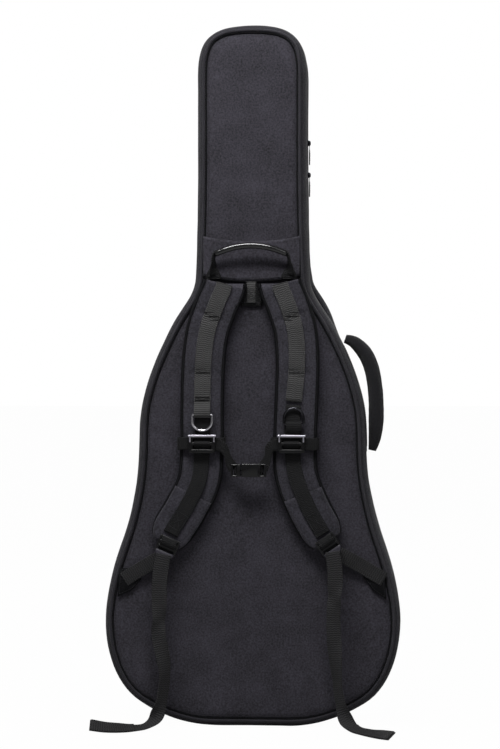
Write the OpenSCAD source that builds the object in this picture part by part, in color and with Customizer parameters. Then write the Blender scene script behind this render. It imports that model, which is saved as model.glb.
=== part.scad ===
// Padded gig bag for a full-size guitar, standing upright on its base.
// +Z runs up the bag, the back panel with the shoulder straps faces -Y, X is across.

/* [Outline] */
// Overall length of the bag
bag_length = 1080; // [1000:5:1200]
// Half length of the flat stretch of the base
base_half = 60; // [40:1:80]
// Half width of the base corner
corner_half = 174; // [165:1:185]
// Height of the base corner
corner_z = 36; // [30:1:45]
// Half width of the lower bout
bout_half = 228; // [215:1:240]
// Height of the lower bout
bout_z = 160; // [145:1:175]
// Half width of the hip
hip_half = 202; // [190:1:212]
// Height of the hip
hip_z = 283; // [270:1:300]
// Half width of the waist
waist_half = 176; // [168:1:186]
// Height of the waist
waist_z = 410; // [395:1:425]
// Half width of the upper bout
upper_half = 170; // [162:1:178]
// Height of the upper bout
upper_z = 500; // [485:1:515]
// Half width of the slope to the neck
slope_half = 121; // [112:1:130]
// Height of the slope to the neck
slope_z = 623; // [608:1:638]
// Half width of the neck at its root
neck_root_half = 88; // [82:1:96]
// Height of the neck root
neck_root_z = 690; // [675:1:705]
// Half width of the neck
neck_half = 84; // [80:1:92]

/* [Depth] */
// Place of the zipper plane in front of the frame's middle
zip_y = 12; // [4:1:20]
// Depth from the zipper plane to the back panel's seam
back_depth = 76; // [68:1:84]
// Depth from the zipper plane to the front panel's seam
front_depth = 46; // [40:1:56]
// Distance that the side walls bulge beyond the panel seams
bulge = 12; // [8:1:14]
// Crown of the back panel beyond its seam
crown = 6; // [3:1:8]
// Thickness of the outer fabric
cloth_t = 1.6; // [1.2:0.1:2]
// Thickness of the side wall foam
wall_foam_t = 10; // [7:0.5:12]
// Thickness of the back and front panel foam
panel_foam_t = 15; // [12:0.5:18]
// Thickness of the plush lining
lining_t = 1.5; // [1:0.1:2]
// Radius of the piping cord in the panel seams
piping_r = 2.6; // [2:0.1:3]
// Radial gap left between loose layers
layer_gap = 0.4; // [0.3:0.05:0.6]

/* [Zippers] */
// Width of one half of the zipper tape
tape_w = 9; // [7:0.5:11]
// Thickness of the zipper tape
tape_t = 1.2; // [1:0.1:1.4]
// Gap between the two closed halves
zip_gap = 0.6; // [0.5:0.1:1]
// Height of the main sliders on the neck side
slider_z = 880; // [840:5:900]
// Length of a zipper slider
slider_l = 15; // [12:0.5:18]
// Width of a zipper slider
slider_w = 11; // [9:0.5:12]
// Length of a pull tab
pull_l = 34; // [28:1:40]

/* [Front pocket] */
// Top of the front pocket
pocket_top = 700; // [660:5:710]
// Bottom of the front pocket
pocket_bottom = 14; // [10:1:40]
// Depth of the front pocket
pocket_depth = 30; // [24:1:36]
// Distance that the pocket's edge keeps inside the outline
pocket_margin = 3; // [2:0.5:8]
// Half length of the pocket's straight zipper
pocket_zip_half = 78; // [66:1:80]
// Distance from the pocket's top down to its zipper
pocket_zip_drop = 62; // [55:1:70]

/* [Shoulder straps] */
// Width of the padded strap
strap_w = 67; // [60:1:72]
// Thickness of the padded strap
strap_t = 12; // [9:0.5:14]
// Width of the strap webbing
web_w = 25; // [22:0.5:28]
// Thickness of the strap webbing
web_t = 1.6; // [1.2:0.1:2]
// Width of the chest strap webbing
chest_w = 20; // [18:0.5:22]
// Place of the chest strap in height
chest_z = 436; // [426:1:446]
// Distance from the back panel's seam to the middle of the straps
strap_stand = 17; // [16:0.5:20]

/* [Handles] */
// Radius of the rubber carrying grip
haul_r = 5; // [4:0.5:6]
// Half length of the rubber carrying grip
haul_half = 54; // [48:1:58]
// Radius of the padded side handle
side_r = 12; // [10:0.5:14]

/* [Hidden] */

// Colours
cloth_c = [0.2, 0.19, 0.23];
web_c = [0.15, 0.15, 0.16];
plastic_c = [0.07, 0.07, 0.08];
foam_c = [0.5, 0.5, 0.5];
plush_c = [0.3, 0.3, 0.34];
metal_c = [0.45, 0.45, 0.47];

seam_back = zip_y - back_depth;
seam_front = zip_y + front_depth;
step_n = 6;
fit = 0.35;

// Stations of the outline's right half: x, z and the heading in degrees
half_outline = [[0, 0, 0], [base_half, 0, 0], [corner_half, corner_z, 33], [bout_half, bout_z, 90],
    [hip_half, hip_z, 109], [waist_half, waist_z, 93], [upper_half, upper_z, 102],
    [slope_half, slope_z, 119], [neck_root_half, neck_root_z, 93],
    [neck_half, bag_length - 80, 90], [neck_half - 15, bag_length - 20, 131],
    [32, bag_length - 2, 172], [0, bag_length, 180]];

// A point on the smooth curve between two stations, t from 0 to 1
function hermite(a, b, t) =
    let (len = norm([b[0] - a[0], b[1] - a[1]]),
        ta = len * [cos(a[2]), sin(a[2])],
        tb = len * [cos(b[2]), sin(b[2])],
        h1 = 2 * t * t * t - 3 * t * t + 1,
        h2 = t * t * t - 2 * t * t + t,
        h3 = 1 - h1,
        h4 = t * t * t - t * t)
    [h1 * a[0] + h2 * ta[0] + h3 * b[0] + h4 * tb[0], h1 * a[1] + h2 * ta[1] + h3 * b[1] + h4 * tb[1]];

right_half = [for (i = [0:len(half_outline) - 2], k = [0:step_n - 1])
    if (!(i == 0 && k > 0)) hermite(half_outline[i], half_outline[i + 1], k / step_n)];
half_n = len(right_half);
outline = concat(right_half, [[0, bag_length]],
    [for (i = [half_n - 1:-1:1]) [-right_half[i][0], right_half[i][1]]]);
out_n = len(outline);

// The outline moved inwards by a distance, along its normals
function normal_at(i) =
    let (a = outline[(i + out_n - 1) % out_n], b = outline[(i + 1) % out_n], d = b - a)
    [-d[1], d[0]] / norm(d);
function inset(d) = [for (i = [0:out_n - 1]) outline[i] + d * normal_at(i)];

// Half width of the outline at a height
function half_at(z) =
    let (near = [for (i = [1:half_n - 2]) if (right_half[i][1] <= z && right_half[i + 1][1] > z) i][0],
        a = right_half[near], b = right_half[near + 1])
    a[0] + (b[0] - a[0]) * (z - a[1]) / (b[1] - a[1]);

function reversed(list) = [for (i = [len(list) - 1:-1:0]) list[i]];

// Point grid to solid: rings of the same count, closed as a loop or capped at both ends
module skin(rings, loop) {
    m = len(rings[0]);
    n = len(rings);
    last = loop ? n - 1 : n - 2;
    polyhedron(points = [for (r = rings, p = r) p],
        faces = concat(
            [for (i = [0:last], j = [0:m - 1])
                [i * m + j, i * m + (j + 1) % m, ((i + 1) % n) * m + (j + 1) % m]],
            [for (i = [0:last], j = [0:m - 1])
                [i * m + j, ((i + 1) % n) * m + (j + 1) % m, ((i + 1) % n) * m + j]],
            loop ? [] : [[for (j = [m - 1:-1:0]) j], [for (j = [0:m - 1]) (n - 1) * m + j]]));
}

// A hoop round the outline, from a closed section of inset and y
module hoop(section) {
    rings = [for (s = section) [for (p = inset(s[0])) [p[0], s[1], p[1]]]];
    skin(rings, true);
}

// A closed pad that fills the outline, from rings of inset and y
module pad(section) {
    rings = [for (s = section) [for (p = reversed(inset(s[0]))) [p[0], s[1], p[1]]]];
    skin(rings, false);
}

// A flat plate of an inset outline, from y0 to y1
module plate(d, y0, y1) {
    translate([0, y1, 0]) rotate([90, 0, 0]) linear_extrude(y1 - y0) polygon(inset(d));
}

// A flat band between two insets, from y0 to y1
module band(d0, d1, y0, y1) {
    translate([0, y1, 0]) rotate([90, 0, 0]) linear_extrude(y1 - y0) difference() {
        polygon(inset(d0));
        polygon(inset(d1));
    }
}

wall_foam_in = cloth_t + 1 + layer_gap;
wall_foam_out = wall_foam_in + wall_foam_t;
panel_edge = bulge + cloth_t + fit;

module back_panel() {
    y = seam_back;
    color(cloth_c) pad([[panel_edge, y + cloth_t], [panel_edge, y], [bulge + 5, y - crown * 0.55],
        [bulge + 14, y - crown * 0.9], [bulge + 30, y - crown]]);
}
module back_foam() {
    y = seam_back + cloth_t + layer_gap;
    color(foam_c) plate(wall_foam_out + layer_gap + lining_t, y, y + panel_foam_t);
}
module back_lining() {
    y = seam_back + cloth_t + panel_foam_t + 2 * layer_gap;
    color(plush_c) plate(wall_foam_out + 2 * layer_gap + lining_t, y, y + lining_t);
}
// The side wall's outer cloth, bulged outwards between its two seams; s is its side of the zipper
module side_wall(y_seam, y_zip, s) {
    t = cloth_t;
    section = [[bulge, y_seam], [bulge * 0.45, y_seam + s * 4], [bulge * 0.12, y_seam + s * 11],
        [0, y_seam + s * 20], [0, y_zip - s * 14], [1, y_zip - s * 6], [3, y_zip],
        [3 + t, y_zip], [t + 1, y_zip - s * 6], [t, y_zip - s * 15], [t, y_seam + s * 21],
        [bulge * 0.12 + t, y_seam + s * 12], [bulge * 0.45 + t, y_seam + s * 5.5], [bulge + t, y_seam + s * 1.5]];
    color(cloth_c) hoop(s > 0 ? section : reversed(section));
}
module back_gusset() { side_wall(seam_back, zip_y - zip_gap / 2 - tape_t, 1); }
module back_gusset_foam() {
    color(foam_c) band(wall_foam_in, wall_foam_out, seam_back + 15.5, zip_y - 9);
}
module back_gusset_lining() {
    color(plush_c) band(wall_foam_out + layer_gap, wall_foam_out + layer_gap + lining_t,
        seam_back + cloth_t + panel_foam_t + 3 * layer_gap + lining_t, zip_y - 2);
}
// The piping cord in a panel seam, just outside the panel's edge
module piping(y) {
    color(web_c) hoop([for (k = [0:5]) [bulge - 1.5 + piping_r * cos(k * 60), y + piping_r * sin(-k * 60)]]);
}
module back_piping() { piping(seam_back - piping_r); }
module zipper_tape_back() {
    color(web_c) band(3.4, 3.4 + tape_w, zip_y - zip_gap / 2 - tape_t, zip_y - zip_gap / 2);
}
module zipper_tape_front() {
    color(web_c) band(3.4, 3.4 + tape_w, zip_y + zip_gap / 2, zip_y + zip_gap / 2 + tape_t);
}

// Inside of the back shell
inner_back = seam_back + cloth_t + panel_foam_t + 3 * layer_gap + lining_t;
inner_half = neck_half - wall_foam_out - lining_t - 2 * layer_gap - 1;
cradle_z = 850;
module neck_cradle() {
    color(foam_c) translate([0, inner_back + fit, cradle_z]) difference() {
        translate([-inner_half, 0, -45]) cube([2 * inner_half, 34, 90]);
        translate([0, 42, -50]) cylinder(r = 30, h = 100, $fn = 64);
    }
}
module neck_tie_strap() {
    y = inner_back + fit + 34 + fit;
    color(web_c) union() {
        translate([-inner_half, y, cradle_z - 19]) cube([2 * inner_half, 2, 38]);
        translate([-inner_half, y + 2, cradle_z - 19]) cube([42, 2, 38]);
    }
}
module base_block() {
    z = wall_foam_out + lining_t + layer_gap + 1;
    color(foam_c) translate([-50, inner_back + fit, z]) cube([100, 28, 22]);
}

// Yoke that covers the strap roots, with a shallow smile along its lower edge
yoke_z = 684;
yoke_y = seam_back - crown - fit;
yoke_t = strap_stand - strap_t / 2 - crown - 2 * fit;
module yoke() {
    edge = [for (k = [0:12]) [-68 + 136 * k / 12, yoke_z - 7 * sin(180 * k / 12)]];
    color(cloth_c) translate([0, yoke_y, 0]) rotate([90, 0, 0]) linear_extrude(yoke_t)
        polygon(concat(edge, [[68, yoke_z + 22], [-68, yoke_z + 22]]));
}
module hang_patch() {
    z = yoke_z - 7 - fit;
    color(cloth_c) translate([0, yoke_y, 0]) rotate([90, 0, 0]) linear_extrude(yoke_t)
        polygon([[-7, z - 1], [7, z - 1], [17, z - 38], [17, z - 50], [-17, z - 50], [-17, z - 38]]);
}
module hang_loop() {
    z = yoke_z - 8 - fit;
    color(web_c) translate([-6, yoke_y - yoke_t - web_t - fit, z - 34]) cube([12, web_t, 34]);
}

// Haul handle: sewn tabs, webbing core and rubber grip
haul_z = 727;
haul_y = yoke_y - 15;
haul_rise = 13;
haul_root_z = 712;
module haul_handle_tabs() {
    color(web_c) for (s = [-1, 1]) translate([s * 58, yoke_y - yoke_t - fit, haul_root_z - 20])
        rotate([90, 0, 0]) linear_extrude(2) polygon([[-11, -3], [11, -3], [9, 18], [-9, 18]]);
}
// A round tube along hand-placed points, smoothed between them
function ease(pts, i, t) =
    let (n = len(pts), p0 = pts[max(i - 1, 0)], p1 = pts[i], p2 = pts[i + 1], p3 = pts[min(i + 2, n - 1)])
    0.5 * (2 * p1 + (p2 - p0) * t + (2 * p0 - 5 * p1 + 4 * p2 - p3) * t * t
        + (3 * p1 - p0 - 3 * p2 + p3) * t * t * t);
function smooth_path(pts, k) =
    concat([for (i = [0:len(pts) - 2], j = [0:k - 1]) ease(pts, i, j / k)], [pts[len(pts) - 1]]);
function unit(v) = v / norm(v);
// Sweep a section (points of sideways and outward) along a path; up fixes the outward side
module sweep(path, section, up) {
    n = len(path);
    rings = [for (i = [0:n - 1])
        let (t = unit(path[min(i + 1, n - 1)] - path[max(i - 1, 0)]),
            side = unit(cross(t, up)), out = cross(side, t))
        [for (q = section) path[i] + side * q[0] + out * q[1]]];
    skin(rings, false);
}
function round_section(r, n) = [for (k = [0:n - 1]) [r * cos(360 * k / n), r * sin(360 * k / n)]];
function flat_section(w, t) = [[-w / 2, -t / 2], [w / 2, -t / 2], [w / 2, t / 2], [-w / 2, t / 2]];
function pad_section(w, t) = [[-w / 2 + 3, -t / 2], [w / 2 - 3, -t / 2], [w / 2, 0], [w / 2 - 1.5, t * 0.3],
    [w / 2 - 9, t / 2], [-w / 2 + 9, t / 2], [-w / 2 + 1.5, t * 0.3], [-w / 2, 0]];

grip_path = [for (k = [0:10]) let (u = -1 + 2 * k / 10)
    [u * haul_half, haul_y - 3 * (1 - u * u), haul_z + haul_rise * (1 - u * u)]];
module haul_grip() {
    color(plastic_c) sweep(grip_path, round_section(haul_r, 12), [0, -1, 0]);
}
haul_leg_y = yoke_y - yoke_t - 2 - 2 * fit - web_t / 2;
module haul_webbing() {
    color(web_c) for (s = [-1, 1]) sweep(smooth_path(
        [[s * 58, haul_leg_y, haul_root_z - 16], [s * 58, haul_leg_y - 1, haul_root_z],
            [s * (haul_half + 3.5), haul_y + 2, haul_z - 8], [s * (haul_half + 1.5), haul_y, haul_z + 1]], 3),
        flat_section(14, web_t), [0, -1, 0]);
}

// Side handle on the right wall, from x, z and radius
side_y = -23;
side_points = [[143, 597, 7], [158, 591, 10], [174, 574, side_r], [184, 551, side_r], [189, 524, side_r],
    [191, 498, side_r], [191, 469, side_r], [189, 444, 10], [185, 424, 6.5]];
module side_handle() {
    n = len(side_points);
    color(plastic_c) skin([for (i = [0:n - 1])
        let (a = side_points[max(i - 1, 0)], b = side_points[min(i + 1, n - 1)], p = side_points[i],
            t = unit([b[0] - a[0], b[1] - a[1]]))
        [for (k = [0:11]) let (c = p[2] * cos(30 * k), d = p[2] * sin(30 * k))
            [p[0] - t[1] * c, side_y + d, p[1] + t[0] * c]]], false);
}
module side_handle_patch() {
    wall = [for (p = inset(-fit)) if (p[0] > 0 && p[1] > 418 && p[1] < 606) p];
    skin_out = [for (p = inset(-fit - 1.2)) if (p[0] > 0 && p[1] > 418 && p[1] < 606) p];
    color(plastic_c) translate([0, side_y + 19, 0]) rotate([90, 0, 0]) linear_extrude(38)
        polygon(concat(wall, reversed(skin_out)));
}

// Front shell, the lid that the main zipper opens
crown_front = 4;
module front_panel() {
    y = seam_front;
    color(cloth_c) pad([[bulge + 30, y + crown_front], [bulge + 14, y + crown_front * 0.9],
        [bulge + 5, y + crown_front * 0.55], [panel_edge, y], [panel_edge, y - cloth_t]]);
}
module front_foam() {
    y = seam_front - cloth_t - layer_gap;
    color(foam_c) plate(wall_foam_out + layer_gap + lining_t, y - panel_foam_t, y);
}
module front_lining() {
    y = seam_front - cloth_t - panel_foam_t - 2 * layer_gap;
    color(plush_c) plate(wall_foam_out + 2 * layer_gap + lining_t, y - lining_t, y);
}
module front_gusset() { side_wall(seam_front, zip_y + zip_gap / 2 + tape_t, -1); }
module front_gusset_foam() {
    color(foam_c) band(wall_foam_in, wall_foam_out, zip_y + 9, seam_front - 15.5);
}
module front_piping() { piping(seam_front + piping_r); }

pocket_y = seam_front + 2 * piping_r + fit;
function pocket_outline(d) =
    [for (p = inset(pocket_margin + d)) if (p[1] > pocket_bottom + d && p[1] < pocket_top - d) p];
module pocket_prism(d, y0, y1) {
    translate([0, y1, 0]) rotate([90, 0, 0]) linear_extrude(y1 - y0) polygon(pocket_outline(d));
}
module pocket_gusset() {
    color(cloth_c) difference() {
        pocket_prism(0, pocket_y, pocket_y + pocket_depth);
        pocket_prism(2.4, pocket_y - 1, pocket_y + pocket_depth + 1);
    }
}
pocket_zip_z = pocket_top - pocket_zip_drop;
pocket_face = pocket_y + pocket_depth + 0.2;
module pocket_panel() {
    color(cloth_c) difference() {
        pocket_prism(0, pocket_face, pocket_face + cloth_t);
        translate([-pocket_zip_half, pocket_face - 1, pocket_zip_z - tape_w])
            cube([2 * pocket_zip_half, cloth_t + 2, 2 * tape_w]);
    }
}
module pocket_zipper() {
    color(web_c) translate([-pocket_zip_half + 0.2, pocket_face, pocket_zip_z - tape_w + 0.2])
        cube([2 * pocket_zip_half - 0.4, tape_t, 2 * tape_w - 0.4]);
}
pull_pin_r = 0.8;
pull_clear = 0.06;
// A slider body with its bridge, lying on a face towards +Z, its pull's pin along X
module slider_body() {
    difference() {
        union() {
            translate([-slider_w / 2, -slider_l / 2, 0]) cube([slider_w, slider_l, 2.4]);
            for (s = [-1, 1]) translate([s * 3 - 0.6, -4, 2.4]) cube([1.2, 8, 4]);
        }
        translate([-slider_w, 0, 4.4]) rotate([0, 90, 0]) cylinder(r = pull_pin_r + pull_clear, h = 2 * slider_w, $fn = 32);
    }
}
// The pull tab with its pin, hanging towards -Y from the slider's bridge
module pull_tab() {
    translate([-3.6, 0, 4.4]) rotate([0, 90, 0]) cylinder(r = pull_pin_r, h = 7.2, $fn = 32);
    difference() {
        union() {
            translate([-2, -pull_l, 3.9]) cube([4, pull_l, 1]);
            translate([-4, -pull_l, 3.4]) cube([8, pull_l - 12, 2]);
        }
        translate([0, -pull_l + 6, 0]) cylinder(r = 2, h = 10, $fn = 32);
    }
}
slider_gap = 0.4;
pocket_slider_x = -pocket_zip_half + 14;
module on_pocket() {
    translate([pocket_slider_x, pocket_face + tape_t + slider_gap, pocket_zip_z])
        rotate([-90, 0, 0]) rotate([0, 0, -90]) children();
}
module pocket_slider() { color(plastic_c) on_pocket() slider_body(); }
module pocket_pull() { color(plastic_c) on_pocket() pull_tab(); }
// The main sliders ride on the zipper at the right side of the neck; s is +1 for the upper one
main_slider_x = neck_half - 1.5;
slider_pair = 50;
module on_neck(s) {
    translate([main_slider_x, zip_y, slider_z + s * slider_pair / 2])
        rotate([0, 0, -90]) rotate([-90, 0, 0]) mirror([0, s < 0 ? 1 : 0, 0]) children();
}
module main_slider_upper() { color(plastic_c) on_neck(1) slider_body(); }
module main_slider_lower() { color(plastic_c) on_neck(-1) slider_body(); }
module main_pull_upper() { color(plastic_c) on_neck(1) mirror([0, 1, 0]) pull_tab(); }
module main_pull_lower() { color(plastic_c) on_neck(-1) pull_tab(); }

// Shoulder straps: the middle line of each pad, as hand-placed x and z
strap_y = seam_back - strap_stand;
strap_top_z = yoke_z - 7 - 0.5;
left_line = [[-40, strap_top_z], [-43, strap_top_z - 10], [-54, 645], [-67, 606], [-73, 556], [-75, 489], [-75, 440], [-79, 382],
    [-99, 338], [-118, 307], [-129, 285]];
right_line = [[44, strap_top_z], [47, strap_top_z - 10], [57, 645], [68, 606], [71, 556], [69, 495], [67, 436], [69, 390],
    [85, 345], [104, 309], [117, 288]];
function strap_path(line) = [for (p = smooth_path(line, 3)) [p[0], strap_y, p[1]]];
left_path = strap_path(left_line);
right_path = strap_path(right_line);
function below(path, z) = [for (p = path) if (p[2] < z) p];
function lifted(path, d) = [for (p = path) [p[0], p[1] - d, p[2]]];
patch_t = 1.2;
patch_lift = strap_t / 2 + 0.3 + patch_t / 2;
web_lift = strap_t / 2 + patch_t + 0.6 + web_t / 2;
web_face = strap_y - web_lift - web_t / 2;
module strap_pad(path) {
    n = len(path);
    color(cloth_c) skin([for (i = [0:n - 1])
        let (t = i == 0 ? [0, 0, -1] : unit(path[min(i + 1, n - 1)] - path[i - 1]),
            side = unit(cross(t, [0, -1, 0])), end = max(0, (i - n + 5) / 4), w = strap_w * (1 - 0.3 * end * end))
        [for (q = pad_section(w, strap_t)) path[i] + side * q[0] + [0, -q[1], 0]]], false);
}
module strap_pad_left() { strap_pad(left_path); }
module strap_pad_right() { strap_pad(right_path); }
module strap_webbing(path) {
    color(web_c) sweep(lifted([for (p = path) if (p[2] > 306) p], web_lift), flat_section(web_w, web_t), [0, -1, 0]);
}
module strap_webbing_left() { strap_webbing(left_path); }
module strap_webbing_right() { strap_webbing(right_path); }
module strap_patch(path) {
    color(cloth_c) sweep(lifted(below(path, 372), patch_lift), flat_section(strap_w * 0.68, patch_t), [0, -1, 0]);
}
module strap_patch_left() { strap_patch(left_path); }
module strap_patch_right() { strap_patch(right_path); }

// D-rings: the bar lies across the webbing and the bow hangs down or up
ring_wire = 1.9;
ring_half = 15;
ring_y = web_face - ring_wire - fit;
ring_left = [-75, 480];
ring_right = [70, 466];
module d_ring() {
    rotate([0, 90, 0]) translate([0, 0, -ring_half]) cylinder(r = ring_wire, h = 2 * ring_half, $fn = 32);
    for (s = [-1, 1]) translate([s * ring_half, 0, -9]) cylinder(r = ring_wire, h = 9, $fn = 32);
    for (s = [-1, 1]) translate([s * ring_half, 0, 0]) sphere(r = ring_wire, $fn = 32);
    translate([0, 0, -9]) rotate([-90, 0, 0]) rotate_extrude(angle = 180, $fn = 64)
        translate([ring_half, 0]) circle(r = ring_wire, $fn = 32);
}
module d_ring_left() { color(metal_c) translate([ring_left[0], ring_y, ring_left[1]]) d_ring(); }
module d_ring_right() { color(metal_c) translate([ring_right[0], ring_y, ring_right[1]]) rotate([180, 0, 0]) d_ring(); }

// Chest strap: adjusters, webbing loops round the pads, and the side-release buckle
chest_left = -75.5;
chest_right = 67;
loop_half = strap_w / 2 + 2.5;
loop_back = strap_y + strap_t / 2 + layer_gap;
loop_front = web_face - layer_gap;
chest_t = 1.5;
adjuster_y = loop_front - chest_t - fit;
module chest_adjuster(x) {
    color(plastic_c) translate([x, adjuster_y, chest_z]) difference() {
        union() {
            translate([-20, -4.5, -14]) cube([40, 4.5, 28]);
            translate([-21.5, -6.5, 9]) cube([43, 6.5, 5]);
        }
        for (s = [-1, 1]) translate([-14, -8, s > 0 ? 2 : -8]) cube([28, 10, 6]);
    }
}
module chest_adjuster_left() { chest_adjuster(chest_left); }
module chest_adjuster_right() { chest_adjuster(chest_right); }
module chest_webbing(x, ribbon) {
    color(web_c) union() {
        difference() {
            translate([x - loop_half - chest_t, loop_front - chest_t, chest_z - chest_w / 2])
                cube([2 * (loop_half + chest_t), loop_back - loop_front + 2 * chest_t, chest_w]);
            translate([x - loop_half, loop_front, chest_z - chest_w])
                cube([2 * loop_half, loop_back - loop_front, 2 * chest_w]);
        }
        translate([0, loop_front, 0]) rotate([90, 0, 0]) linear_extrude(chest_t) polygon(ribbon);
    }
}
buckle_z = 396;
module chest_webbing_left() {
    chest_webbing(chest_left, [[-44, chest_z + 9], [-44, chest_z - 10], [-38, 408], [-31, 390], [-24, 388], [-22, 404], [-30, 418]]);
}
module chest_webbing_right() {
    chest_webbing(chest_right, [[36, chest_z + 9], [24, 420], [17, 404], [19, 388], [26, 390], [32, 408], [36, chest_z - 10]]);
}
buckle_y = loop_front - chest_t - fit;
module buckle_socket() {
    color(plastic_c) translate([0, buckle_y, buckle_z]) difference() {
        translate([-14, -9, -10]) cube([38, 9, 20]);
        translate([-15, -7.2, -8]) cube([27, 5.4, 16]);
        translate([16, -10, -8]) cube([4, 11, 16]);
    }
}
module buckle_prongs() {
    color(plastic_c) translate([0, buckle_y, buckle_z]) difference() {
        union() {
            translate([-30, -9, -9.5]) cube([15.6, 9, 19]);
            for (z = [-7.4, -1.2, 5]) translate([-15, -6.6, z]) cube([z == -1.2 ? 24 : 20, 4.2, 2.4]);
        }
        translate([-26, -10, -7.5]) cube([4, 11, 15]);
    }
}

// Ladder locks at the strap ends, each turned about Y to face its anchor
lock_left = [-126, 283, 23];
lock_right = [116, 286, -35];
lock_y = strap_y - patch_lift - patch_t / 2 - fit;
module ladder_lock(at) {
    color(plastic_c) translate([at[0], lock_y, at[1]]) rotate([0, at[2], 0]) difference() {
        union() {
            translate([-16, -5, -16]) cube([32, 5, 26]);
            translate([-14, -8, -18]) cube([28, 5, 4]);
        }
        translate([-13, -10, 3]) cube([26, 12, 3.5]);
        translate([-13, -10, -4.5]) cube([26, 12, 4]);
        translate([-13, -10, -12]) cube([26, 12, 4]);
    }
}
module ladder_lock_left() { ladder_lock(lock_left); }
module ladder_lock_right() { ladder_lock(lock_right); }

// Anchors in the back panel's seam, and the webbing from them to the ladder locks
anchor_y = seam_back - crown - fit;
module anchor(wing) {
    color(web_c) translate([0, anchor_y, 0]) rotate([90, 0, 0]) linear_extrude(2) polygon(wing);
}
module anchor_left() { anchor([[-203, 244], [-206, 200], [-184, 210], [-170, 226], [-175, 248], [-184, 244]]); }
module anchor_right() { anchor([[203, 242], [206, 198], [186, 212], [171, 232], [178, 252], [186, 248]]); }
lower_left = [[-137, strap_y + 2, 262], [-152, -80, 254], [-166, -77, 245], [-180, -73.6, 236]];
lower_right = [[129, strap_y + 2, 270], [146, -80, 262], [164, -77, 252], [181, -73.6, 241]];
module lower_webbing_left() {
    color(web_c) sweep(smooth_path(lower_left, 4), flat_section(web_w, web_t), [0, -1, 0]);
}
module lower_webbing_right() {
    color(web_c) sweep(smooth_path(lower_right, 4), flat_section(web_w, web_t), [0, -1, 0]);
}
// Loose strap tails: a point of the middle line and the tilt of the face from upright to lying
tail_left = [[-132, -98, 268, 0], [-137, -98, 242, 0], [-139, -98, 215, 0], [-139, -98, 176, 0], [-140, -99, 147, 5],
    [-131, -99, 96, 8], [-133, -100, 58, 10], [-143, -103, 22, 30], [-158, -108, 8, 55], [-180, -114, 7, 65],
    [-210, -122, 7, 66], [-245, -130, 7, 66], [-284, -134, 7, 66]];
tail_right = [[124, -98, 273, 0], [128, -98, 245, 0], [128, -98, 215, 0], [126, -98, 176, 0], [127, -99, 140, 5],
    [130, -100, 96, 8], [134, -101, 56, 10], [143, -106, 22, 30], [158, -118, 8, 55], [176, -132, 7, 65],
    [196, -146, 7, 66], [222, -160, 7, 66]];
module strap_tail(line) {
    path = smooth_path(line, 3);
    n = len(path);
    color(web_c) skin([for (i = [0:n - 1])
        let (a = path[max(i - 1, 0)], b = path[min(i + 1, n - 1)], p = path[i],
            t = unit([b[0] - a[0], b[1] - a[1], b[2] - a[2]]), up = [0, -cos(p[3]), sin(p[3])],
            side = unit(cross(t, up)), out = cross(side, t))
        [for (q = flat_section(web_w, web_t)) [p[0], p[1], p[2]] + side * q[0] + out * q[1]]], false);
}
module strap_tail_left() { strap_tail(tail_left); }
module strap_tail_right() { strap_tail(tail_right); }

back_panel();
back_foam();
back_lining();
back_gusset();
back_gusset_foam();
back_gusset_lining();
back_piping();
zipper_tape_back();
neck_cradle();
neck_tie_strap();
base_block();
yoke();
hang_patch();
hang_loop();
haul_handle_tabs();
side_handle_patch();
anchor_left();
anchor_right();
front_panel();
front_foam();
front_lining();
front_gusset();
front_gusset_foam();
front_piping();
zipper_tape_front();
pocket_gusset();
pocket_panel();
pocket_zipper();
pocket_slider();
pocket_pull();
main_slider_upper();
main_slider_lower();
main_pull_upper();
main_pull_lower();
haul_grip();
haul_webbing();
side_handle();
strap_pad_left();
strap_pad_right();
strap_webbing_left();
strap_webbing_right();
strap_patch_left();
strap_patch_right();
d_ring_left();
d_ring_right();
chest_adjuster_left();
chest_adjuster_right();
chest_webbing_left();
chest_webbing_right();
buckle_socket();
buckle_prongs();
ladder_lock_left();
ladder_lock_right();
lower_webbing_left();
lower_webbing_right();
strap_tail_left();
strap_tail_right();
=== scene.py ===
"""Padded gig bag: cloth, padding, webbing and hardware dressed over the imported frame."""
import math

import bmesh
import bpy
import numpy as np
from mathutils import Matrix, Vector, noise


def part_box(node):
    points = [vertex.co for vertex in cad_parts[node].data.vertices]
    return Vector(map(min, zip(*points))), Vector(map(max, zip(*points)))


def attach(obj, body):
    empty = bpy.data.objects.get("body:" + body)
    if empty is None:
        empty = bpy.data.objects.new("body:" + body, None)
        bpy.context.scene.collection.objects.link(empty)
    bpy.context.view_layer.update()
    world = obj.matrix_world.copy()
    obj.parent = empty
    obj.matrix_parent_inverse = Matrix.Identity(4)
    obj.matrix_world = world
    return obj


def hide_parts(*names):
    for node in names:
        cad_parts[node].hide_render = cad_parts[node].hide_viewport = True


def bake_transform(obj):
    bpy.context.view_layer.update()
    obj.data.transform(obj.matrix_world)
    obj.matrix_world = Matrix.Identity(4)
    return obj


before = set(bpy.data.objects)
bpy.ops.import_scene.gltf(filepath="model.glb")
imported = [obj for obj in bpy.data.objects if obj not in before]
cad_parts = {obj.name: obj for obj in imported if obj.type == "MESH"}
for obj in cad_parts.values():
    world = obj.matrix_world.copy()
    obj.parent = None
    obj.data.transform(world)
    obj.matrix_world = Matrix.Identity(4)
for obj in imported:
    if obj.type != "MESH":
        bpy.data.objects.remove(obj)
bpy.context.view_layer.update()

MM = 0.001
TAU = 2 * math.pi

# ---------------------------------------------------------------- camera
VIEW_AZIMUTH = math.radians(3.2)
VIEW_DISTANCE = 3.0
VIEW_TARGET = Vector((-0.0062, 0.0, 0.5415))
LENS = 91.9


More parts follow.
